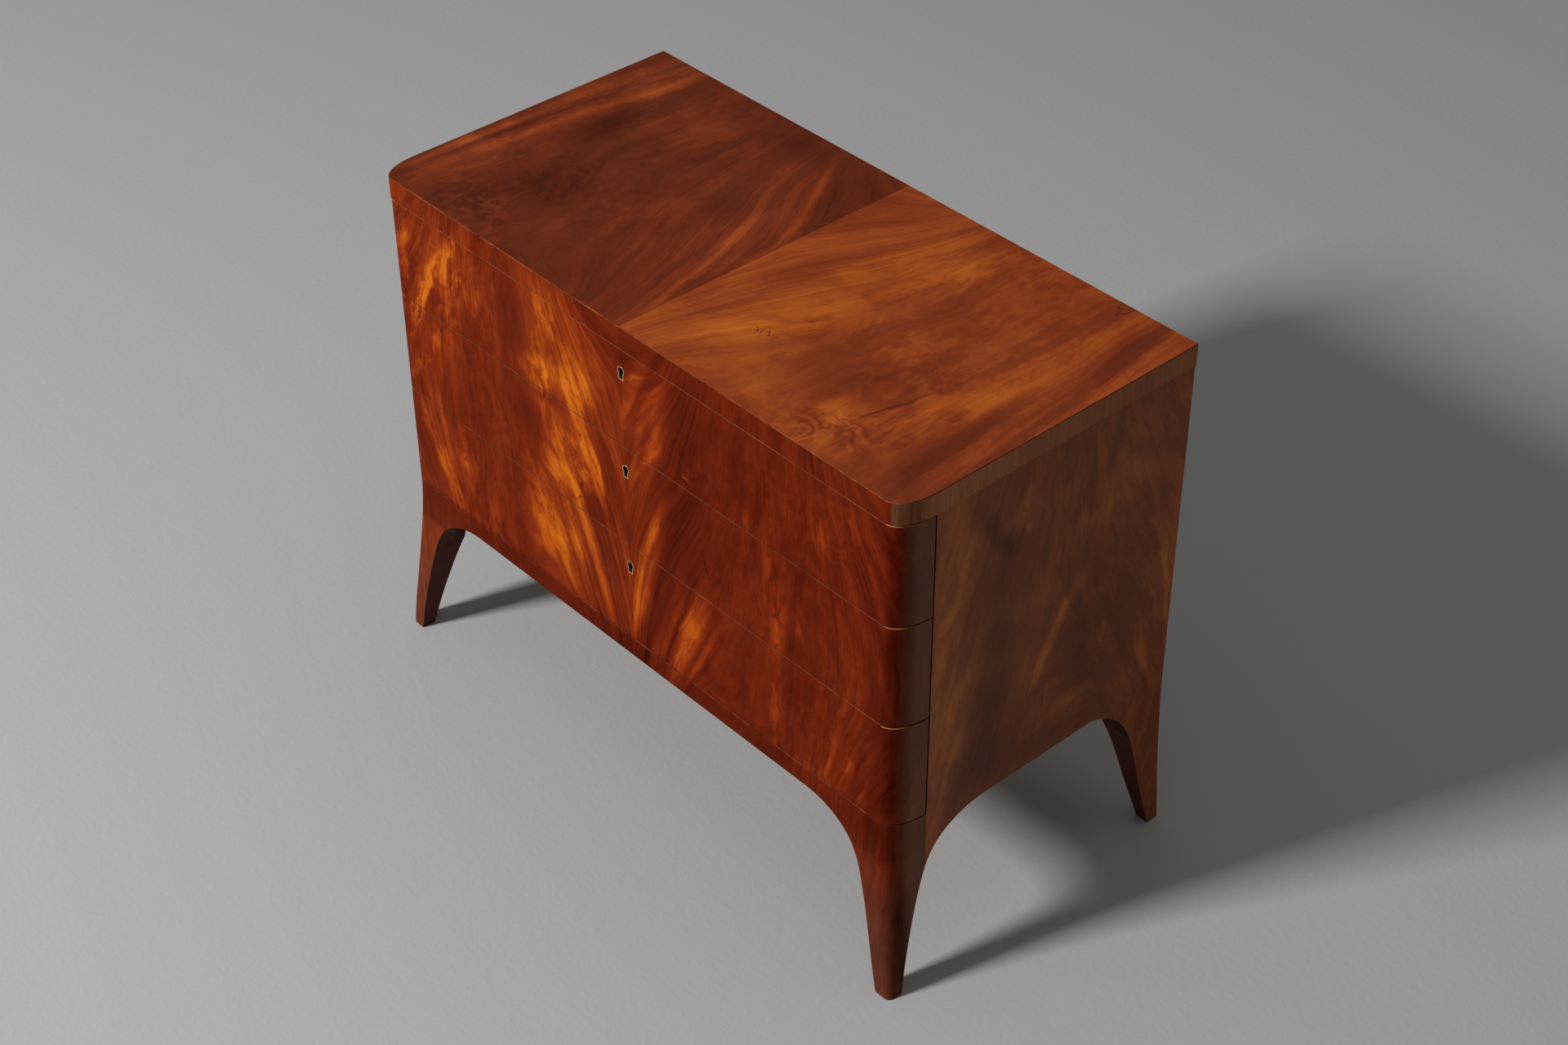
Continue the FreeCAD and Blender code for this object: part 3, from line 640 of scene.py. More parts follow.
FRONT_SHEET = Sheet(
    across=Axis.X, along=Axis.Z, depth=Axis.Y, joint=0.0, foot=0.28, matched=True,
    fan=Fan(0.2, 0.06, 0.42, 0.10, 0.12, 0.30, 0.0, -1.7), heart=(0.21, 0.13),
    base=(0.43, 0.34), streaks=0.24, cloud=0.18, brown=0.0,
    left=torn_patches(
        (125, 425, 76, 76, 0.18, 0.2, 0.6), (116, 290, 72, 116, 0.24, 0.1, 0.6),
        (162, 120, 70, 110, 0.2, 0.0, 0.8), (165, 210, 50, 70, 0.08, 0.0, 0.9),
        (85, 428, 24, 60, 0.1, 0.3, 0.5), (178, 350, 40, 26, 0.18, -0.3, 0.5), (110, 352, 26, 24, 0.08),
        (104, 266, 36, 64, 0.12, 0.1, 0.5), (58, 250, 9, 36, 0.26, 0.4, 0.5), (148, 195, 36, 30, 0.12),
        (188, 100, 38, 48, 0.12), (401, 399, 16, 90, 0.2, -0.7, 0.9), (425, 380, 8, 80, 0.14, -0.7),
        (370, 430, 6, 50, 0.14, -0.4), (430, 370, 70, 110, 0.11, -0.4, 0.9), (466, 399, 10, 62, 0.18),
        (448, 238, 14, 56, 0.24, -0.6), (455, 310, 12, 62, 0.18, -0.5), (330, 420, 50, 60, 0.11),
        (385, 300, 30, 90, 0.09, -0.3), (344, 430, 7, 50, 0.12), (441, 100, 11, 82, 0.2, 0.4),
        (397, 41, 9, 58, 0.2, 0.4), (357, 100, 24, 16, 0.14), (306, 20, 12, 46, 0.18),
        (420, 110, 50, 90, 0.08, 0.3), (330, 110, 40, 70, 0.06, 0.2), (270, 246, 60, 130, -0.08),
        (237, 420, 5, 60, -0.12, 0.1), (256, 200, 1.2, 62, -0.3, 0.1), (474, 90, 12, 90, -0.12, 0.3),
        (190, 258, 30, 30, -0.16), (212, 420, 28, 52, -0.14), (146, 399, 28, 26, -0.24),
        (146, 313, 36, 6, -0.24), (70, 180, 22, 26, -0.2, 0.3), (250, -30, 700, 34, -0.22, 0.0, 0.2),
        (430, -60, 60, 70, 0.08, 0.2), (100, 199, 1.2, 17, -0.7, -0.5),
    ) + smooth_streaks(
        (140, 420, 66, 90, 0.11, 0.1, 0.7), (128, 90, 66, 90, 0.07, 0.2, 0.8),
        (73, 104, 13, 96, 0.24, 0.4, 0.8), (105, 82, 11, 76, 0.18, 0.4, 0.9),
        (140, 50, 9, 54, 0.12, 0.4, 0.9), (90, 60, 5, 70, -0.14, 0.4, 0.9),
        (122, 70, 6, 60, -0.12, 0.4, 0.9), (62, 384, 6, 104, -0.15, 0.3, 0.9),
        (38, 380, 6, 90, 0.1, 0.3, 0.9), (47, 300, 5, 90, -0.12, 0.3, 0.9),
        (30, 180, 8, 110, -0.12, 0.2, 0.9), (44, 170, 5, 90, 0.09, 0.3, 0.9),
    ),
    right=torn_patches(
        (110, 270, 50, 112, -0.13, 0.3), (125, 418, 46, 66, -0.12), (241, 385, 9, 92, 0.16, 0.1),
        (299, 200, 11, 56, 0.22, 0.1), (336, 216, 7, 60, 0.16, 0.1), (390, 41, 7, 56, 0.2, 0.3),
        (427, 49, 7, 50, 0.2, 0.3), (455, 60, 9, 70, 0.16, 0.2), (292, 60, 12, 60, 0.18, 0.1),
        (467, 362, 10, 70, 0.2, -0.3), (430, 420, 10, 60, 0.18, -0.3), (480, 250, 8, 80, 0.14, -0.2),
        (121, 337, 3, 9, 0.4, -0.6), (116, 337, 1.2, 9, -0.6, -0.6), (146, 369, 4, 9, 0.2),
        # The long dark patch 505 mm from the joint darkens the right end: partly the veneer's own dark,
        # partly painted shade where the front turns from the lamp.
        (374, 390, 16, 22, 0.12), (505, 220, 40, 420, -0.18), (275, 300, 7, 70, 0.12, 0.1),
        (360, 270, 40, 60, -0.06), (250, -30, 700, 34, -0.14, 0.0, 0.2), (82, -14, 20, 26, 0.16, 0.4),
        (160, 215, 0.9, 22, -0.3, -0.3),
    ) + smooth_streaks(
        (50, 322, 15, 112, 0.28, 0.3, 0.9), (35, 132, 17, 116, 0.46, 0.3, 0.8),
        (54, 222, 10, 50, 0.18, 0.3, 0.9), (123, 88, 21, 92, 0.46, 0.4, 0.7),
        (150, 68, 6, 74, 0.26, 0.5, 0.8), (84, 76, 9, 82, 0.24, 0.4, 0.9), (62, 75, 7, 84, -0.17, 0.4, 0.8),
        (101, 92, 5, 78, -0.16, 0.4, 0.8), (27, 436, 15, 70, 0.26, 0.5, 0.9),
        (60, 420, 12, 66, 0.24, 0.5, 0.9), (40, 430, 4, 60, -0.12, 0.5, 0.9),
        (20, 300, 7, 90, 0.14, 0.2, 0.9),
    ),
    curls=torn_patches(
        (390, 400, 110, 80, 0.06), (150, 360, 60, 60, 0.045), (330, 220, 160, 90, 0.02),
        (360, 90, 60, 50, 0.04),
    ),
    # Behind the corner's turn the front veneer takes the painted floor reflection.
    turn=(-0.234, -0.205), toward_feet=(0.0, -0.22),
)
TOP_SHEET = Sheet(
    across=Axis.X, along=Axis.Y, depth=Axis.Z, joint=0.0, foot=-0.242, matched=True,
    fan=Fan(0.24, 0.05, 0.40, 0.085, 0.10, 0.36, -0.15, 0.0), heart=(0.25, 0.14),
    base=(0.36, 0.65), streaks=0.17, cloud=0.14, brown=0.30,
    left=torn_patches(
        (426, 412, 12, 62, 0.16, -0.1), (466, 463, 10, 50, 0.14, -0.1), (430, 121, 22, 52, 0.14),
        (364, 340, 18, 26, 0.09), (320, 150, 66, 62, -0.2), (379, 26, 60, 32, -0.12),
        (392, 300, 24, 60, -0.12), (200, 480, 90, 40, -0.08), (200, 60, 120, 60, -0.05),
        (291, 270, 90, 70, -0.08), (124, 289, 34, 36, -0.12, 0.3), (145, 463, 60, 42, -0.1),
        (408, 318, 12, 54, -0.1), (218, 172, 42, 62, 0.05), (250, 400, 50, 40, 0.04),
    ) + smooth_streaks(
        (80, 420, 7, 52, 0.18, 0.6, 0.9), (43, 354, 7, 56, 0.17, 0.4, 0.9),
        (14, 281, 6, 66, 0.14, 0.2, 0.9), (65, 258, 13, 46, 0.18, 0.3, 0.9),
        (36, 179, 8, 56, 0.15, 0.4, 0.9), (14, 92, 7, 64, 0.15, 0.3, 0.9),
        (495, 135, 9, 140, 0.18, -0.1, 0.9), (455, 194, 8, 140, 0.2, -0.1, 0.9),
        (488, 320, 10, 170, 0.13, -0.1, 0.9), (475, 208, 5, 170, -0.16, -0.1, 0.8),
        (475, 230, 40, 260, 0.15, -0.1, 0.9), (60, 240, 44, 240, 0.1, 0.3, 0.9),
    ),
    right=torn_patches(
        (168, 361, 60, 32, 0.07), (208, 416, 30, 26, 0.09), (110, 70, 30, 70, 0.05),
        (117, 310, 26, 62, 0.08, 0.3), (146, 223, 40, 52, 0.07, 0.4), (131, 157, 40, 62, 0.08, 0.3),
        (73, 70, 30, 62, 0.06, 0.4), (29, 427, 14, 62, 0.08, 0.3), (277, 318, 64, 52, -0.1),
        (255, 135, 52, 62, -0.15), (314, 157, 30, 42, -0.12), (66, 267, 14, 60, -0.08, 0.4),
        (92, 330, 7, 60, -0.08, 0.4), (306, 427, 62, 52, -0.06), (321, 84, 24, 30, 0.12),
        (350, 48, 52, 40, 0.06), (480, 20, 60, 60, -0.16, 0.3), (408, 172, 36, 80, 0.1),
        (430, 252, 16, 62, 0.1), (400, 380, 30, 90, 0.04), (459, 135, 15, 120, -0.24, -0.1, 0.7),
        (445, 92, 13, 62, -0.15, -0.1), (466, 427, 18, 70, -0.2, -0.1), (498, 200, 6, 260, -0.14, -0.1),
        (388, 484, 1.2, 18, -0.5, -0.6), (402, 484, 1.2, 16, -0.5, 0.4), (122, 125, 0.9, 6, -0.4, -0.7),
        (130, 126, 0.9, 8, -0.4, -0.5), (139, 128, 0.9, 7, -0.4, -0.5), (358, 150, 1.4, 64, -0.4, 0.2),
    ) + smooth_streaks(
        (120, 300, 48, 220, 0.07, 0.1, 0.9), (190, 420, 60, 50, 0.05, 0.0, 0.9),
        (20, 200, 26, 200, 0.04, 0.2, 0.9), (480, 250, 4, 240, -0.14, -0.1, 0.9),
        (486, 200, 4, 240, 0.12, -0.1, 0.9),
    ),
    curls=torn_patches(
        (350, 50, 56, 44, 0.1), (330, 150, 60, 60, 0.05), (270, 250, 110, 90, 0.025),
        (300, 20, 90, 40, 0.04),
    ),
)
SIDE_SHEET = Sheet(
    across=Axis.Y, along=Axis.Z, depth=Axis.X, joint=-0.186, foot=0.24, matched=False,
    fan=Fan(0.25, 0.28, 0.0, 0.1, 0.1, 0.16, -0.70, 0.0), heart=(0.20, 0.16),
    base=(0.64, 0.64), streaks=0.17, cloud=0.17, brown=0.74,
    left=torn_patches(
        (40, 392, 30, 92, 0.1, 0.2), (67, 437, 14, 42, 0.1, 0.3), (62, 236, 12, 62, 0.16, 0.4),
        (49, 125, 12, 52, 0.12, 0.2), (102, 437, 16, 42, -0.2, -0.7), (133, 405, 20, 18, -0.14),
        (133, 339, 50, 62, -0.12, 0.3), (116, 263, 26, 32, -0.18), (102, 156, 42, 66, -0.22),
        (98, 67, 50, 42, -0.22), (147, 450, 12, 42, 0.1, 0.3), (242, 259, 14, 30, 0.2, 0.5),
        (214, 210, 9, 52, 0.18, 0.4), (191, 156, 8, 44, 0.15, 0.3), (200, 58, 6, 52, 0.13, 0.2),
        (271, 281, 9, 52, 0.13, 0.1), (249, 67, 24, 38, 0.14), (307, 370, 4, 42, 0.11, 0.1),
        (307, 147, 4, 42, 0.12, 0.1), (289, 170, 4, 20, 0.1), (392, 210, 9, 62, 0.14, -0.4),
        (369, 401, 12, 30, 0.07, -0.3), (423, 236, 8, 72, 0.13, -0.3), (400, 67, 12, 52, 0.12, -0.3),
        (438, 147, 5, 92, 0.12, -0.1), (267, 183, 40, 62, -0.1), (356, 147, 30, 62, -0.1),
        (311, 481, 10, 52, -0.12, 0.2), (254, 312, 40, 42, -0.1), (165, 67, 5, 8, 0.14),
        (160, 419, 6, 8, 0.12), (165, 492, 3, 8, -0.16),
    ) + smooth_streaks(
        (20, 260, 26, 300, 0.22, 0.04, 0.9), (450, 300, 26, 280, 0.08, -0.05, 0.9),
    ),
    curls=torn_patches(
        (165, 440, 40, 50, 0.03), (180, 80, 50, 50, 0.025),
    ),
)


# Stretches of the chest over which a finish changes, in metres.
BACKWARD = (-0.20, 0.15)
TO_THE_FRONT = (-0.18, -0.235)
TO_THE_TOP = (0.70, 0.75)
TO_THE_RIGHT = (0.34, 0.48)
PAST_CORNER = (-0.236, -0.205)
# The layers of noise in the other finishes.
HAZE = Grain(6.0, 6.0, 4.0, 0.6)
CROSS_GRAIN = Grain(230.0, 12.0, 4.0, 0.62)
SLOW_STAIN = Grain(14.0, 4.0, 3.0)
RUBBING = Grain(22.0, 22.0, 5.0, 0.7)
NICKS = Grain(150.0, 150.0, 3.0, 0.6)
SAW_MARKS = Grain(30.0, 240.0, 3.0, 0.6)
SAWN_GRAIN = Grain(160.0, 8.0, 4.0, 0.6)
OLD_STAIN = Grain(9.0, 7.0, 5.0, 0.6, 0.6)
PINE_DRIFT = Grain(6.0, 1.6, 3.0)
PINE_FIBRE = Grain(420.0, 12.0, 3.0, 0.6)
PINE_STAIN = Grain(8.0, 5.0, 5.0, 0.6, 0.4)
KNOTS = Grain(5.5, 2.4)
RING_TURNS = 620.0
NEW_PINE: Colour = (0.60, 0.40, 0.20)
PINE_AGEING: Colour = (0.30, 0.24, 0.135)
LATE_WOOD = 0.52
KNOT_BROWN: Colour = (0.075, 0.032, 0.014)
TARNISH_SPOTS = Grain(160.0, 160.0, 5.0, 0.65, 0.5)
FILE_MARKS = Grain(240.0, 2600.0)
FILE_ACROSS = 3.75
FLOOR_GRAIN = Grain(90.0, 0.0, 4.0, 0.6)


@dataclass(frozen=True)
class Veneer:
    """Figured mahogany veneer under a satin shellac polish.

    Attributes:
        name: The material's name.
        sheet: How the figure lies.
        polish: The polish's refractive index, which is low, so that little of the floor shows.
    """

    name: str
    sheet: Sheet
    polish: float

    def make(self) -> bpy.types.Material:
        """Builds the material.

        Returns:
            The material.
        """
        graph = Graph(self.name)
        colour, fibre = self.sheet.colour(graph)
        x, y, z = graph.place
        haze = graph.noise(HAZE, x, y, z)
        graph.bump(fibre * 0.5 + haze * 0.6, 0.00022, 0.35)
        return graph.finish(Base_Color=colour, Roughness=haze * 0.05 + 0.36, IOR=self.polish)


@dataclass(frozen=True)
class EdgeBand:
    """Cross-grained veneer on the top board's edge.

    Attributes:
        name: The material's name.
        tone: Its middle tone, between dark 0 and light 1.
    """

    name: str = "edge_band_veneer"
    tone: float = 0.58

    def make(self) -> bpy.types.Material:
        """Builds the material.

        Returns:
            The material.
        """
        graph = Graph(self.name)
        x, y, z = graph.place
        cross = graph.noise(CROSS_GRAIN, x, y, z)
        slow = graph.noise(SLOW_STAIN, x, y, z)
        tone = cross * 0.16 + slow * 0.12 + self.tone
        tone = tone - y.step(*BACKWARD) * 0.16 - y.step(*TO_THE_FRONT) * 0.55
        colour = graph.ramp(tone, BAND_TONES)
        graph.bump(cross, 0.00015, 0.4)
        return graph.finish(Base_Color=colour, Roughness=slow * 0.04 + 0.42, IOR=1.13)


@dataclass(frozen=True)
class ArrisWearAndHighlight:
    """An eased edge, lighter where rubbed through the polish to the wood, with painted highlight near the
    top and towards the right corner, and painted shade past the corner.

    Attributes:
        name: The material's name.
        wear_and_highlight: How much of it is rubbed or lit by painted highlight, from 0 to 1.
        corner_wear_and_highlight: How much more painted highlight and wear it has near the case's right
            corner.
    """

    name: str
    wear_and_highlight: float
    corner_wear_and_highlight: float = 0.0

    def make(self) -> bpy.types.Material:
        """Builds the material.

        Returns:
            The material.
        """
        graph = Graph(self.name)
        x, y, z = graph.place
        rub = graph.noise(RUBBING, x, y, z)
        nick = graph.noise(NICKS, x, y, z)
        # Rubbing and nicks, with painted highlight near the top and towards the right corner, and painted
        # shade past the corner.
        worn = rub * 0.42 + nick * 0.20 + self.wear_and_highlight + z.step(*TO_THE_TOP) * 0.15
        worn = worn + x.step(*TO_THE_RIGHT) * self.corner_wear_and_highlight - y.step(*PAST_CORNER) * 0.45
        colour = graph.ramp(worn, ARRIS_WEAR_AND_HIGHLIGHT_TONES)
        graph.bump(nick, 0.0002, 0.5)
        return graph.finish(Base_Color=colour, Roughness=rub * 0.05 + 0.40, IOR=1.15)


@dataclass(frozen=True)
class SawnEdge:
    """Sawn and stained wood, as on the inner faces of legs and aprons.

    Attributes:
        name: The material's name.
        shade: How light it is, as a share of the plain stain.
    """

    name: str = "sawn_edge"
    shade: float = 1.0

    def make(self) -> bpy.types.Material:
        """Builds the material.

        Returns:
            The material.
        """
        graph = Graph(self.name)
        x, y, z = graph.place
        saw = graph.noise(SAW_MARKS, x, y, z)
        grain = graph.noise(SAWN_GRAIN, x, y, z)
        stain = graph.noise(OLD_STAIN, x, y, z)
        stops = tuple((place, tuple(part * self.shade for part in tone)) for place, tone in SAWN_TONES)
        colour = graph.ramp(stain * 0.16 + grain * 0.10 + saw * 0.05 + 0.48, stops)
        graph.bump(saw * 0.5 + grain * 0.5, 0.0004, 0.5)
        return graph.finish(Base_Color=colour, Roughness=saw * 0.05 + 0.62, IOR=1.2)


@dataclass(frozen=True)
class Pine:
    """Planed softwood with growth rings, knots and the grey of age.

    Attributes:
        name: The material's name.
        along: The axis that the grain runs along.
        age: How dark the wood has become, from 0 to 1.
    """

    name: str
    along: Axis
    age: float

    def make(self) -> bpy.types.Material:
        """Builds the material.

        Returns:
            The material.
        """
        graph = Graph(self.name)
        run = graph.place[self.along.value]
        first, second = (graph.place[axis.value] for axis in Axis if axis is not self.along)
        drift = graph.noise(PINE_DRIFT, first, second, run)
        knots = graph.vector((drift * 0.02 + first) * KNOTS.across, second * KNOTS.across,
                             run * KNOTS.along)
        near = Val(graph, graph.node("ShaderNodeTexVoronoi", {"feature": "F1"},
                                     {"Vector": knots, "Scale": 1.0}))
        knot = near.step(0.10, 0.03)
        pull = near.step(0.34, 0.05)
        rings = ((first + second * 0.35) * RING_TURNS + drift * 16.0 + pull * 9.0).wave()
        fibre = graph.noise(PINE_FIBRE, first, second, run)
        stain = graph.noise(PINE_STAIN, first, second, run)
        light = tuple(new - lost * self.age for new, lost in zip(NEW_PINE, PINE_AGEING))
        dark = tuple(part * LATE_WOOD for part in light)
        tone = rings * 0.17 + fibre * 0.12 + stain * 0.20 + 0.42
        colour = graph.mix(tone, light, dark)
        colour = graph.mix(knot * 0.85, colour, KNOT_BROWN)
        graph.bump(fibre * 0.6 + rings * 0.4, 0.0003, 0.4)
        return graph.finish(Base_Color=colour, Roughness=stain * 0.05 + 0.66)


@dataclass(frozen=True)
class Metal:
    """A worn metal, brushed along one axis.

    Attributes:
        name: The material's name.
        clean: Its colour where it is rubbed bright.
        dull: Its colour where it is tarnished.
        tarnish: How much of it is tarnished, from 0 to 1.
        rough: Its roughness where it is bright.
    """

    name: str
    clean: Colour
    dull: Colour
    tarnish: float
    rough: float

    def make(self) -> bpy.types.Material:
        """Builds the material.

        Returns:
            The material.
        """
        graph = Graph(self.name)
        x, y, z = graph.place
        spots = graph.noise(TARNISH_SPOTS, x, y, z)
        file_marks = graph.noise(FILE_MARKS, x, y * FILE_ACROSS, z)
        patina = (spots * 0.34 + self.tarnish).step(0.0, 1.0)
        colour = graph.mix(patina, self.clean, self.dull)
        graph.bump(file_marks * 0.4 + spots * 0.6, 0.00008, 0.5)
        return graph.finish(Base_Color=colour, Roughness=patina * 0.26 + self.rough,
                            Metallic=1.0 - patina * 0.45)


# Parts of a face's normal, and how far a face lies from the keyhole, in metres.
LEVEL, TILTED = 0.97, 0.2
FORWARD, WELL_FORWARD = 0.12, 0.3
FRONT_STEEP, SHOWN_STEEP = 0.7, 0.75
OUTWARD, AWAY = 0.45, 0.6
KEYHOLE_CLEAR = 0.05


class Facing(Enum):
    """Which faces of a piece a finish goes on."""

    UP = "up"
    ARRIS = "arris"
    FRONT = "front"
    SIDE = "side"
    SHOWN = "shown"
    INNER = "inner"
    ANY = "any"

    def picks(self, normal: Vector, middle: Vector) -> bool:
        """Says whether a face gets the finish.

        Args:
            normal: The face's normal.
            middle: The face's middle.

        Returns:
            True where the finish lies.
        """
        out = normal.x * math.copysign(1.0, middle.x)
        if self is Facing.UP:
            return normal.z > LEVEL
        if self is Facing.ARRIS:
            return TILTED < normal.z < LEVEL and (normal.y < -TILTED or out > TILTED)
        if self is Facing.FRONT:
            return normal.y < -FORWARD and abs(normal.z) < FRONT_STEEP
        if self is Facing.SIDE:
            return out > OUTWARD and normal.z > -AWAY
        if self is Facing.SHOWN:
            forward = normal.y < -WELL_FORWARD
            return abs(normal.z) < SHOWN_STEEP and (forward or out > OUTWARD and normal.y < AWAY)
        if self is Facing.INNER:
            return normal.y > AWAY or (out < -OUTWARD and abs(middle.x) > KEYHOLE_CLEAR)
        return True


Coats = tuple[tuple[Facing, bpy.types.Material], ...]
# Distances in metres and turns between faces, for the finer copies.
FLUSH = 0.0001
MERGE = 0.000004
FLAT_TURN = math.radians(0.4)
SHARP_TURN = math.radians(30.0)


@dataclass
class FinerCopy:
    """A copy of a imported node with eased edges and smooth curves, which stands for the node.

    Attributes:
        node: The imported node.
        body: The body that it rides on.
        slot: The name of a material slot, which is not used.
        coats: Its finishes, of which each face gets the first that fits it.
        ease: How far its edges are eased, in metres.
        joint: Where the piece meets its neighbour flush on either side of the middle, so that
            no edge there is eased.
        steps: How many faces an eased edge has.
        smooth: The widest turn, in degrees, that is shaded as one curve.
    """

    node: str
    body: str
    slot: str
    coats: Coats
    ease: float = 0.0006
    joint: float = math.inf
    steps: int = 2
    smooth: float = 24.0

    def build(self) -> bpy.types.Object:
        """Makes the copy and puts it in the node's place.

        Returns:
            The finished piece.
        """
        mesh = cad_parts[self.node].data.copy()
        piece = bpy.data.objects.new(self.node + "_finish", mesh)
        bpy.context.scene.collection.objects.link(piece)
        self.clean(piece)
        if self.ease:
            self.round_edges(piece)
        self.dress(piece)
        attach(piece, self.body)
        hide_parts(self.node)
        LOG.info("%s: %d faces", piece.name, len(piece.data.polygons))
        return piece

    def clean(self, piece: bpy.types.Object) -> None:
        """Merges the copy's loose triangles into whole faces.

        Args:
            piece: The copy.
        """
        select_only(piece)
        bpy.ops.object.mode_set(mode="EDIT")
        bpy.ops.mesh.select_all(action="SELECT")
        bpy.ops.mesh.remove_doubles(threshold=MERGE)
        bpy.ops.mesh.dissolve_limited(angle_limit=FLAT_TURN)
        bpy.ops.object.mode_set(mode="OBJECT")

    def round_edges(self, piece: bpy.types.Object) -> None:
        """Eases the copy's sharp edges with a bevel, apart from those at a flush joint.

        Args:
            piece: The copy.
        """
        self.mark_edges(piece.data)
        bevel = piece.modifiers.new("eased_edges", "BEVEL")
        bevel.width = self.ease
        bevel.segments = self.steps
        bevel.limit_method = "WEIGHT"
        bpy.ops.object.modifier_apply(modifier=bevel.name)

    def mark_edges(self, mesh: bpy.types.Mesh) -> None:
        """Weights the sharp edges for the bevel.

        Args:
            mesh: The copy's mesh.
        """
        shape = bmesh.new()
        shape.from_mesh(mesh)
        weights = shape.edges.layers.float.new("bevel_weight_edge")
        for edge in shape.edges:
            ends = [corner.co.x for corner in edge.verts]
            flush = abs(abs(sum(ends)) / 2 - self.joint) < FLUSH and abs(ends[0] - ends[1]) < FLUSH
            turn = edge.calc_face_angle(0.0)
            edge[weights] = 1.0 if turn > SHARP_TURN and not flush else 0.0
        shape.to_mesh(mesh)
        shape.free()

    def dress(self, piece: bpy.types.Object) -> None:
        """Gives the faces their finishes and the curves their smooth shading.

        Args:
            piece: The copy.
        """
        piece.data.materials.clear()
        for _, finish in self.coats:
            piece.data.materials.append(finish)
        for face in piece.data.polygons:
            fits = (facing.picks(face.normal, face.center) for facing, _ in self.coats)
            face.material_index = next(number for number, fit in enumerate(fits) if fit)
        select_only(piece)
        bpy.ops.object.shade_smooth_by_angle(angle=math.radians(self.smooth))
        even = piece.modifiers.new("even_shading", "WEIGHTED_NORMAL")
        even.keep_sharp = True
        bpy.ops.object.modifier_apply(modifier=even.name)


def select_only(piece: bpy.types.Object) -> None:
    """Selects one object alone and makes it active.

    Args:
        piece: The object.
    """
    bpy.ops.object.select_all(action="DESELECT")
    piece.select_set(True)
    bpy.context.view_layer.objects.active = piece


def paint_node(name: str, finish: bpy.types.Material) -> None:
    """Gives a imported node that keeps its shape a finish.

    Args:
        name: The node.
        finish: Its finish.
    """
    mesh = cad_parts[name].data
    mesh.materials.clear()
    mesh.materials.append(finish)


class Finishes:
    """Every finish of the chest, each made once."""

    def __init__(self) -> None:
        """Makes the materials."""
        self.front = Veneer("front_veneer", FRONT_SHEET, polish=1.05).make()
        self.top = Veneer("top_veneer", TOP_SHEET, polish=1.12).make()
        self.side = Veneer("side_veneer", SIDE_SHEET, polish=1.20).make()
        self.band = EdgeBand().make()
        # The drawers' eased edges take rubbed wear and painted highlight. The top's and the apron's darker
        # ones take less of it.
        self.arris = ArrisWearAndHighlight("worn_and_highlit_arris", wear_and_highlight=0.50, corner_wear_and_highlight=0.20).make()
        self.dark_arris = ArrisWearAndHighlight("dark_arris", wear_and_highlight=0.15).make()
        self.sawn = SawnEdge().make()
        # The front's core is the sawn stain darkened to 0.40. It is painted shade for the seams between the
        # drawers, the faces under the top and the gap beside the side panels.
        self.core = SawnEdge("front_core_seam_shade", shade=0.40).make()
        self.frame_pine = {axis: Pine(f"frame_pine_{axis.name}", axis, age=0.62).make() for axis in Axis}
        self.box_pine = {axis: Pine(f"drawer_pine_{axis.name}", axis, age=0.30).make() for axis in Axis}
        self.brass = Metal("keyhole_brass", clean=(0.86, 0.60, 0.24), dull=(0.26, 0.15, 0.06),
                           tarnish=0.30, rough=0.30).make()
        # Near-black brass for the escutcheon's faces behind its front, the keyhole's bore among them.
        self.near_black_brass = Metal("dark_brass", clean=(0.060, 0.042, 0.020), dull=(0.018, 0.013, 0.009),
                          tarnish=0.6, rough=0.5).make()
        self.iron = Metal("lock_iron", clean=(0.26, 0.25, 0.24), dull=(0.070, 0.055, 0.045),
                          tarnish=0.50, rough=0.36).make()
        self.steel = Metal("dull_steel", clean=(0.42, 0.40, 0.38), dull=(0.095, 0.070, 0.055),
                           tarnish=0.55, rough=0.34).make()


DRAWER_NAMES = ("upper_drawer", "middle_drawer", "lower_drawer")


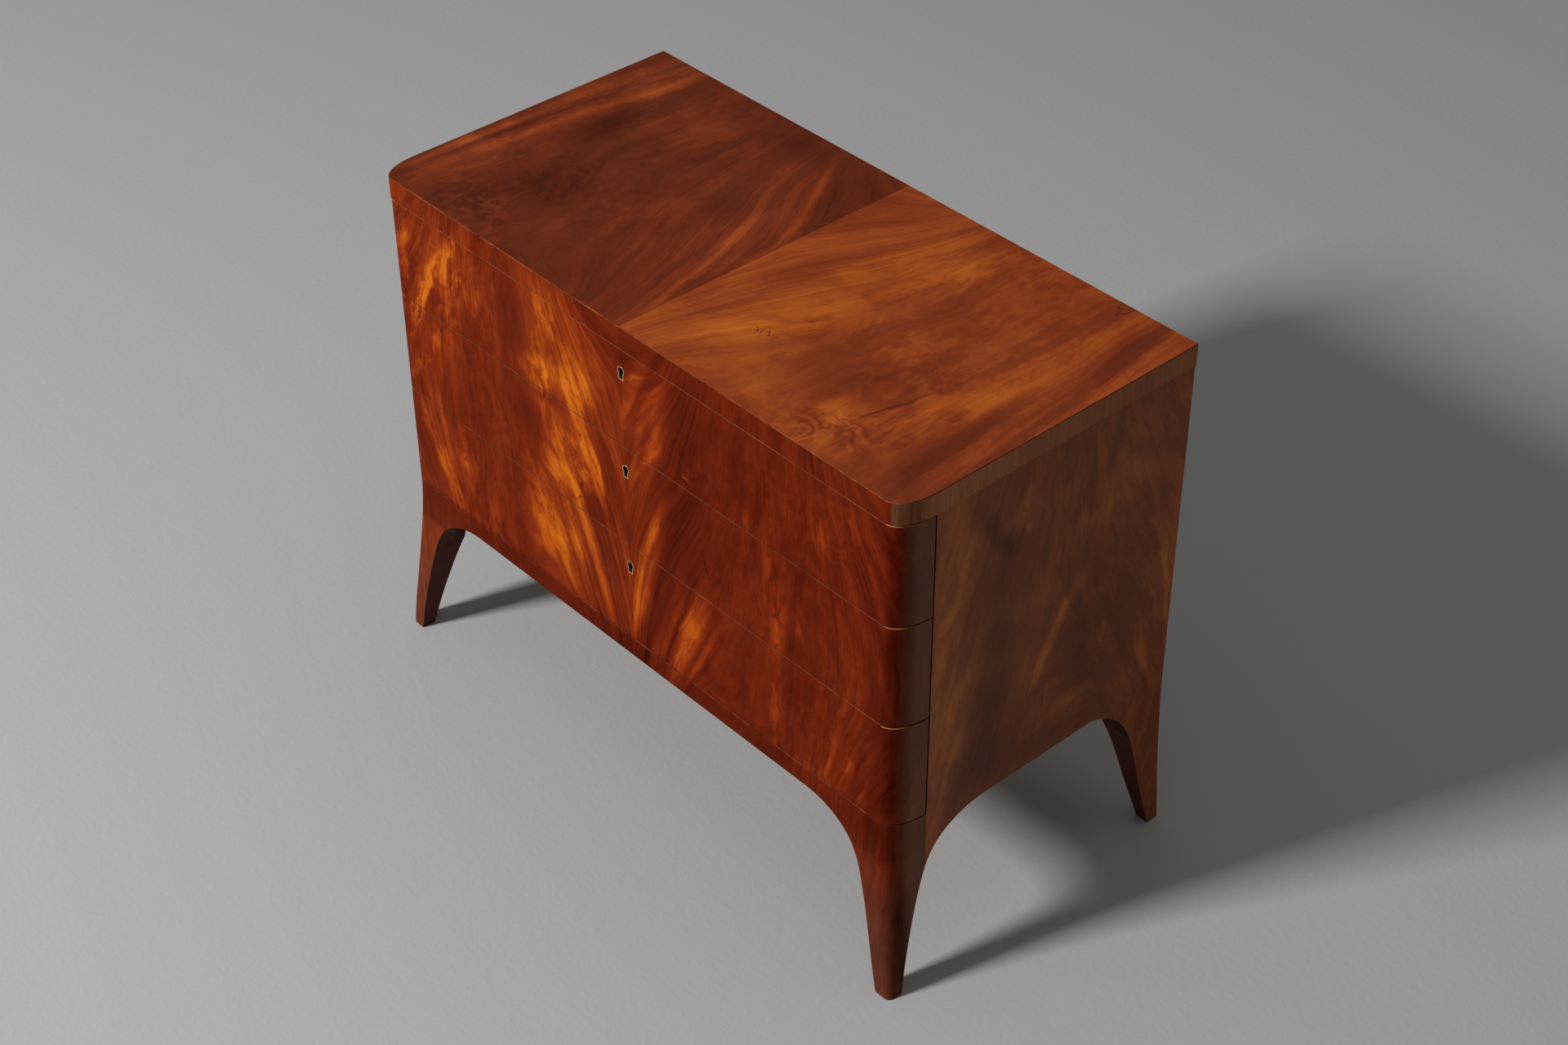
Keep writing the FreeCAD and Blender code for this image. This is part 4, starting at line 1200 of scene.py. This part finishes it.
@dataclass
class Case:
    """The case: top, sides, legs, aprons, back and the frame inside.

    Attributes:
        finishes: The finishes.
        sides: The last words of the names of its paired pieces.
        top_turn: The widest turn of the top's rounded corners, in degrees.
        board_ease: How far the back boards' edges are eased, in metres.
    """

    finishes: Finishes
    sides: tuple[str, str] = ("left", "right")
    top_turn: float = 40.0
    board_ease: float = 0.0008

    def build(self) -> None:
        """Makes every piece of the case."""
        self.outside()
        self.inside()

    def outside(self) -> None:
        """Makes the veneered pieces."""
        made = self.finishes
        # The top's remaining faces, such as its underside above the drawers, take the core's painted shade.
        top = ((Facing.UP, made.top), (Facing.ARRIS, made.dark_arris), (Facing.SIDE, made.band),
               (Facing.FRONT, made.front), (Facing.INNER, made.frame_pine[Axis.X]),
               (Facing.ANY, made.core))
        front = ((Facing.SHOWN, made.front), (Facing.ANY, made.sawn))
        FinerCopy("top_panel", "case", "top_veneer", top, 0.0, smooth=self.top_turn).build()
        leg_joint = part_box("front_apron")[1].x
        FinerCopy("front_apron", "case", "front_veneer", ((Facing.ARRIS, made.dark_arris), *front),
                  joint=leg_joint).build()
        for side in self.sides:
            # Each side panel's front edge, seen in the gap by the drawers, takes the core's painted shade.
            FinerCopy(f"side_panel_{side}", "case", "side_veneer",
                      ((Facing.SIDE, made.side), (Facing.FRONT, made.core),
                       (Facing.ANY, made.frame_pine[Axis.Z]))).build()
            FinerCopy(f"rear_leg_{side}", "case", "side_veneer",
                      ((Facing.SIDE, made.side), (Facing.ANY, made.sawn))).build()
            FinerCopy(f"front_leg_{side}", "case", "front_veneer", front, joint=leg_joint).build()

    def inside(self) -> None:
        """Finishes the frame, the back and what holds them."""
        pine = self.finishes.frame_pine
        for name in ("divider_rail_upper", "divider_rail_lower", "top_rail_front", "top_rail_back",
                     "bottom_board", "rear_apron"):
            paint_node(name, pine[Axis.X])
        for side in self.sides:
            for name in ("runner_upper", "runner_lower", "kicker"):
                paint_node(f"{name}_{side}", pine[Axis.Y])
        paint_node("glue_blocks", pine[Axis.Z])
        for place in ("left", "middle", "right"):
            FinerCopy(f"back_board_{place}", "case", "pine", ((Facing.ANY, pine[Axis.Z]),),
                      self.board_ease).build()
        for name in ("top_screws", "back_nails"):
            paint_node(name, self.finishes.steel)


@dataclass
class Drawer:
    """One drawer: its veneered front, its dovetailed box and its lock.

    Attributes:
        name: The drawer's body.
        finishes: The finishes.
        front_ease: How far the front's edges are eased, in metres.
        box_ease: How far those of the box are.
        rim_ease: How far those of the keyhole's rim are.
        lock_ease: How far those of the lock are.
        metal_turn: The widest turn of the metal's curves, in degrees.
    """

    name: str
    finishes: Finishes
    front_ease: float = 0.0009
    box_ease: float = 0.0005
    rim_ease: float = 0.0002
    lock_ease: float = 0.0004
    metal_turn: float = 40.0

    def build(self) -> None:
        """Makes every piece of the drawer."""
        made = self.finishes
        # The fronts' edges inside the seams take the core's painted shade.
        veneered = ((Facing.ARRIS, made.arris), (Facing.SHOWN, made.front),
                    (Facing.INNER, made.box_pine[Axis.X]), (Facing.ANY, made.core))
        corner_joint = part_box(f"{self.name}_front")[1].x
        for part in ("front", "corner_blocks"):
            FinerCopy(f"{self.name}_{part}", self.name, "front_veneer", veneered,
                      self.front_ease, corner_joint).build()
        for part, axis in (("side_left", Axis.Y), ("side_right", Axis.Y), ("back", Axis.X),
                           ("bottom", Axis.X)):
            FinerCopy(f"{self.name}_{part}", self.name, "drawer_pine",
                      ((Facing.ANY, made.box_pine[axis]),), self.box_ease, steps=1).build()
        iron = (Facing.ANY, made.iron)
        for part, body, slot, metal, ease in (
                ("escutcheon", self.name, "brass", (Facing.FRONT, made.brass), self.rim_ease),
                ("lock_case", self.name, "lock_iron", iron, self.lock_ease),
                ("lock_bolt", f"{self.name}_bolt", "lock_iron", iron, self.lock_ease)):
            FinerCopy(f"{self.name}_{part}", body, slot, (metal, (Facing.ANY, made.near_black_brass)), ease,
                      smooth=self.metal_turn).build()
        paint_node(f"{self.name}_lock_screws", made.steel)


@dataclass(frozen=True)
class Lamp:
    """A soft white lamp.

    Attributes:
        name: Its name.
        place: Where it hangs.
        power: Its power, in watts.
        size: The side of its square face, in metres.
    """

    name: str
    place: Place
    power: float
    size: float


@dataclass
class Studio:
    """The plain floor, the soft lights and the camera.

    Attributes:
        place: Where the camera stands.
        ahead: The way it looks.
        level: The way its right hand points.
        lens: Its focal length on a 36 mm wide frame.
        film: The width of that frame, in millimetres.
        grey: The floor's colour.
        unevenness: How far the floor's colour strays to either side.
        wide: The side of the floor, in metres.
        aim: What the lamps point at.
        lamps: The main lamp at the left front, and a wide weak one overhead.
        fill: The strength of the room's even light.
    """

    place: Place = (2.24353, -1.97174, 2.67521)
    ahead: Place = (-0.58884, 0.52585, -0.6138)
    level: Place = (0.66879, 0.74344, -0.00469)
    lens: float = 62.854
    film: float = 36.0
    grey: Colour = (0.362, 0.362, 0.362)
    unevenness: float = 0.015
    wide: float = 40.0
    aim: Place = (0.0, 0.0, 0.4)
    lamps: tuple[Lamp, ...] = (Lamp("main_lamp", (-2.00, -6.32, 4.87), 800.0, 1.16),
                               Lamp("overhead_lamp", (0.0, 0.4, 5.0), 40.0, 5.0))
    fill: float = 0.15

    def build(self) -> None:
        """Sets the studio up."""
        self.floor()
        for lamp in self.lamps:
            self.hang(lamp)
        self.world()
        self.camera()

    def floor(self) -> None:
        """Lays a wide plain floor."""
        bpy.ops.object.select_all(action="DESELECT")
        bpy.ops.mesh.primitive_plane_add(size=self.wide, location=(0.0, 0.0, 0.0))
        floor = bpy.context.object
        floor.name = "studio_floor"
        graph = Graph("studio_floor")
        x, y, z = graph.place
        grain = graph.noise(FLOOR_GRAIN, x, y, z)
        dark = tuple(part * (1.0 - self.unevenness) for part in self.grey)
        light = tuple(part * (1.0 + self.unevenness) for part in self.grey)
        colour = graph.mix(grain * 0.10 + 0.5, dark, light)
        graph.bump(grain, 0.0004, 0.4)
        floor.data.materials.append(graph.finish(Base_Color=colour, Roughness=0.85,
                                                 Specular_IOR_Level=0.15))

    def hang(self, lamp: Lamp) -> None:
        """Hangs a lamp.

        Args:
            lamp: The lamp.
        """
        data = bpy.data.lights.new(lamp.name, "AREA")
        data.energy = lamp.power
        data.size = lamp.size
        hung = bpy.data.objects.new(lamp.name, data)
        bpy.context.scene.collection.objects.link(hung)
        hung.location = lamp.place
        hung.rotation_mode = "QUATERNION"
        hung.rotation_quaternion = (Vector(self.aim) - Vector(lamp.place)).to_track_quat("-Z", "Y")

    def world(self) -> None:
        """Gives the room its weak even light, and the pale ground that the camera sees."""
        world = bpy.data.worlds.new("studio")
        bpy.context.scene.world = world
        world.use_nodes = True
        world.node_tree.nodes.clear()
        room = Tree(world.node_tree)
        seen = room.node("ShaderNodeLightPath", {}, {})
        light = room.node("ShaderNodeBackground", {}, {0: (1.0, 1.0, 1.0), 1: self.fill})
        ground = room.node("ShaderNodeBackground", {}, {0: self.grey, 1: 1.0})
        both = room.node("ShaderNodeMixShader", {}, {0: seen, 1: light, 2: ground})
        room.node("ShaderNodeOutputWorld", {}, {0: both}, None)

    def camera(self) -> None:
        """Stands the camera where the photograph was taken from."""
        data = bpy.data.cameras.new("camera")
        data.lens = self.lens
        data.sensor_width = self.film
        camera = bpy.data.objects.new("camera", data)
        bpy.context.scene.collection.objects.link(camera)
        back = -Vector(self.ahead).normalized()
        right = Vector(self.level).normalized()
        up = back.cross(right)
        turn = Matrix((right, up, back)).transposed().to_4x4()
        camera.matrix_world = Matrix.Translation(Vector(self.place)) @ turn
        bpy.context.scene.camera = camera


def main() -> None:
    """Dresses the chest, piece by piece, and sets the studio up round it."""
    logging.basicConfig(level=logging.INFO, format="%(name)s %(message)s")
    bpy.context.scene.view_settings.view_transform = "Standard"
    finishes = Finishes()
    Case(finishes).build()
    for name in DRAWER_NAMES:
        Drawer(name, finishes).build()
        LOG.info("%s is dressed", name)
    Studio().build()


if __name__ == "__main__":
    main()
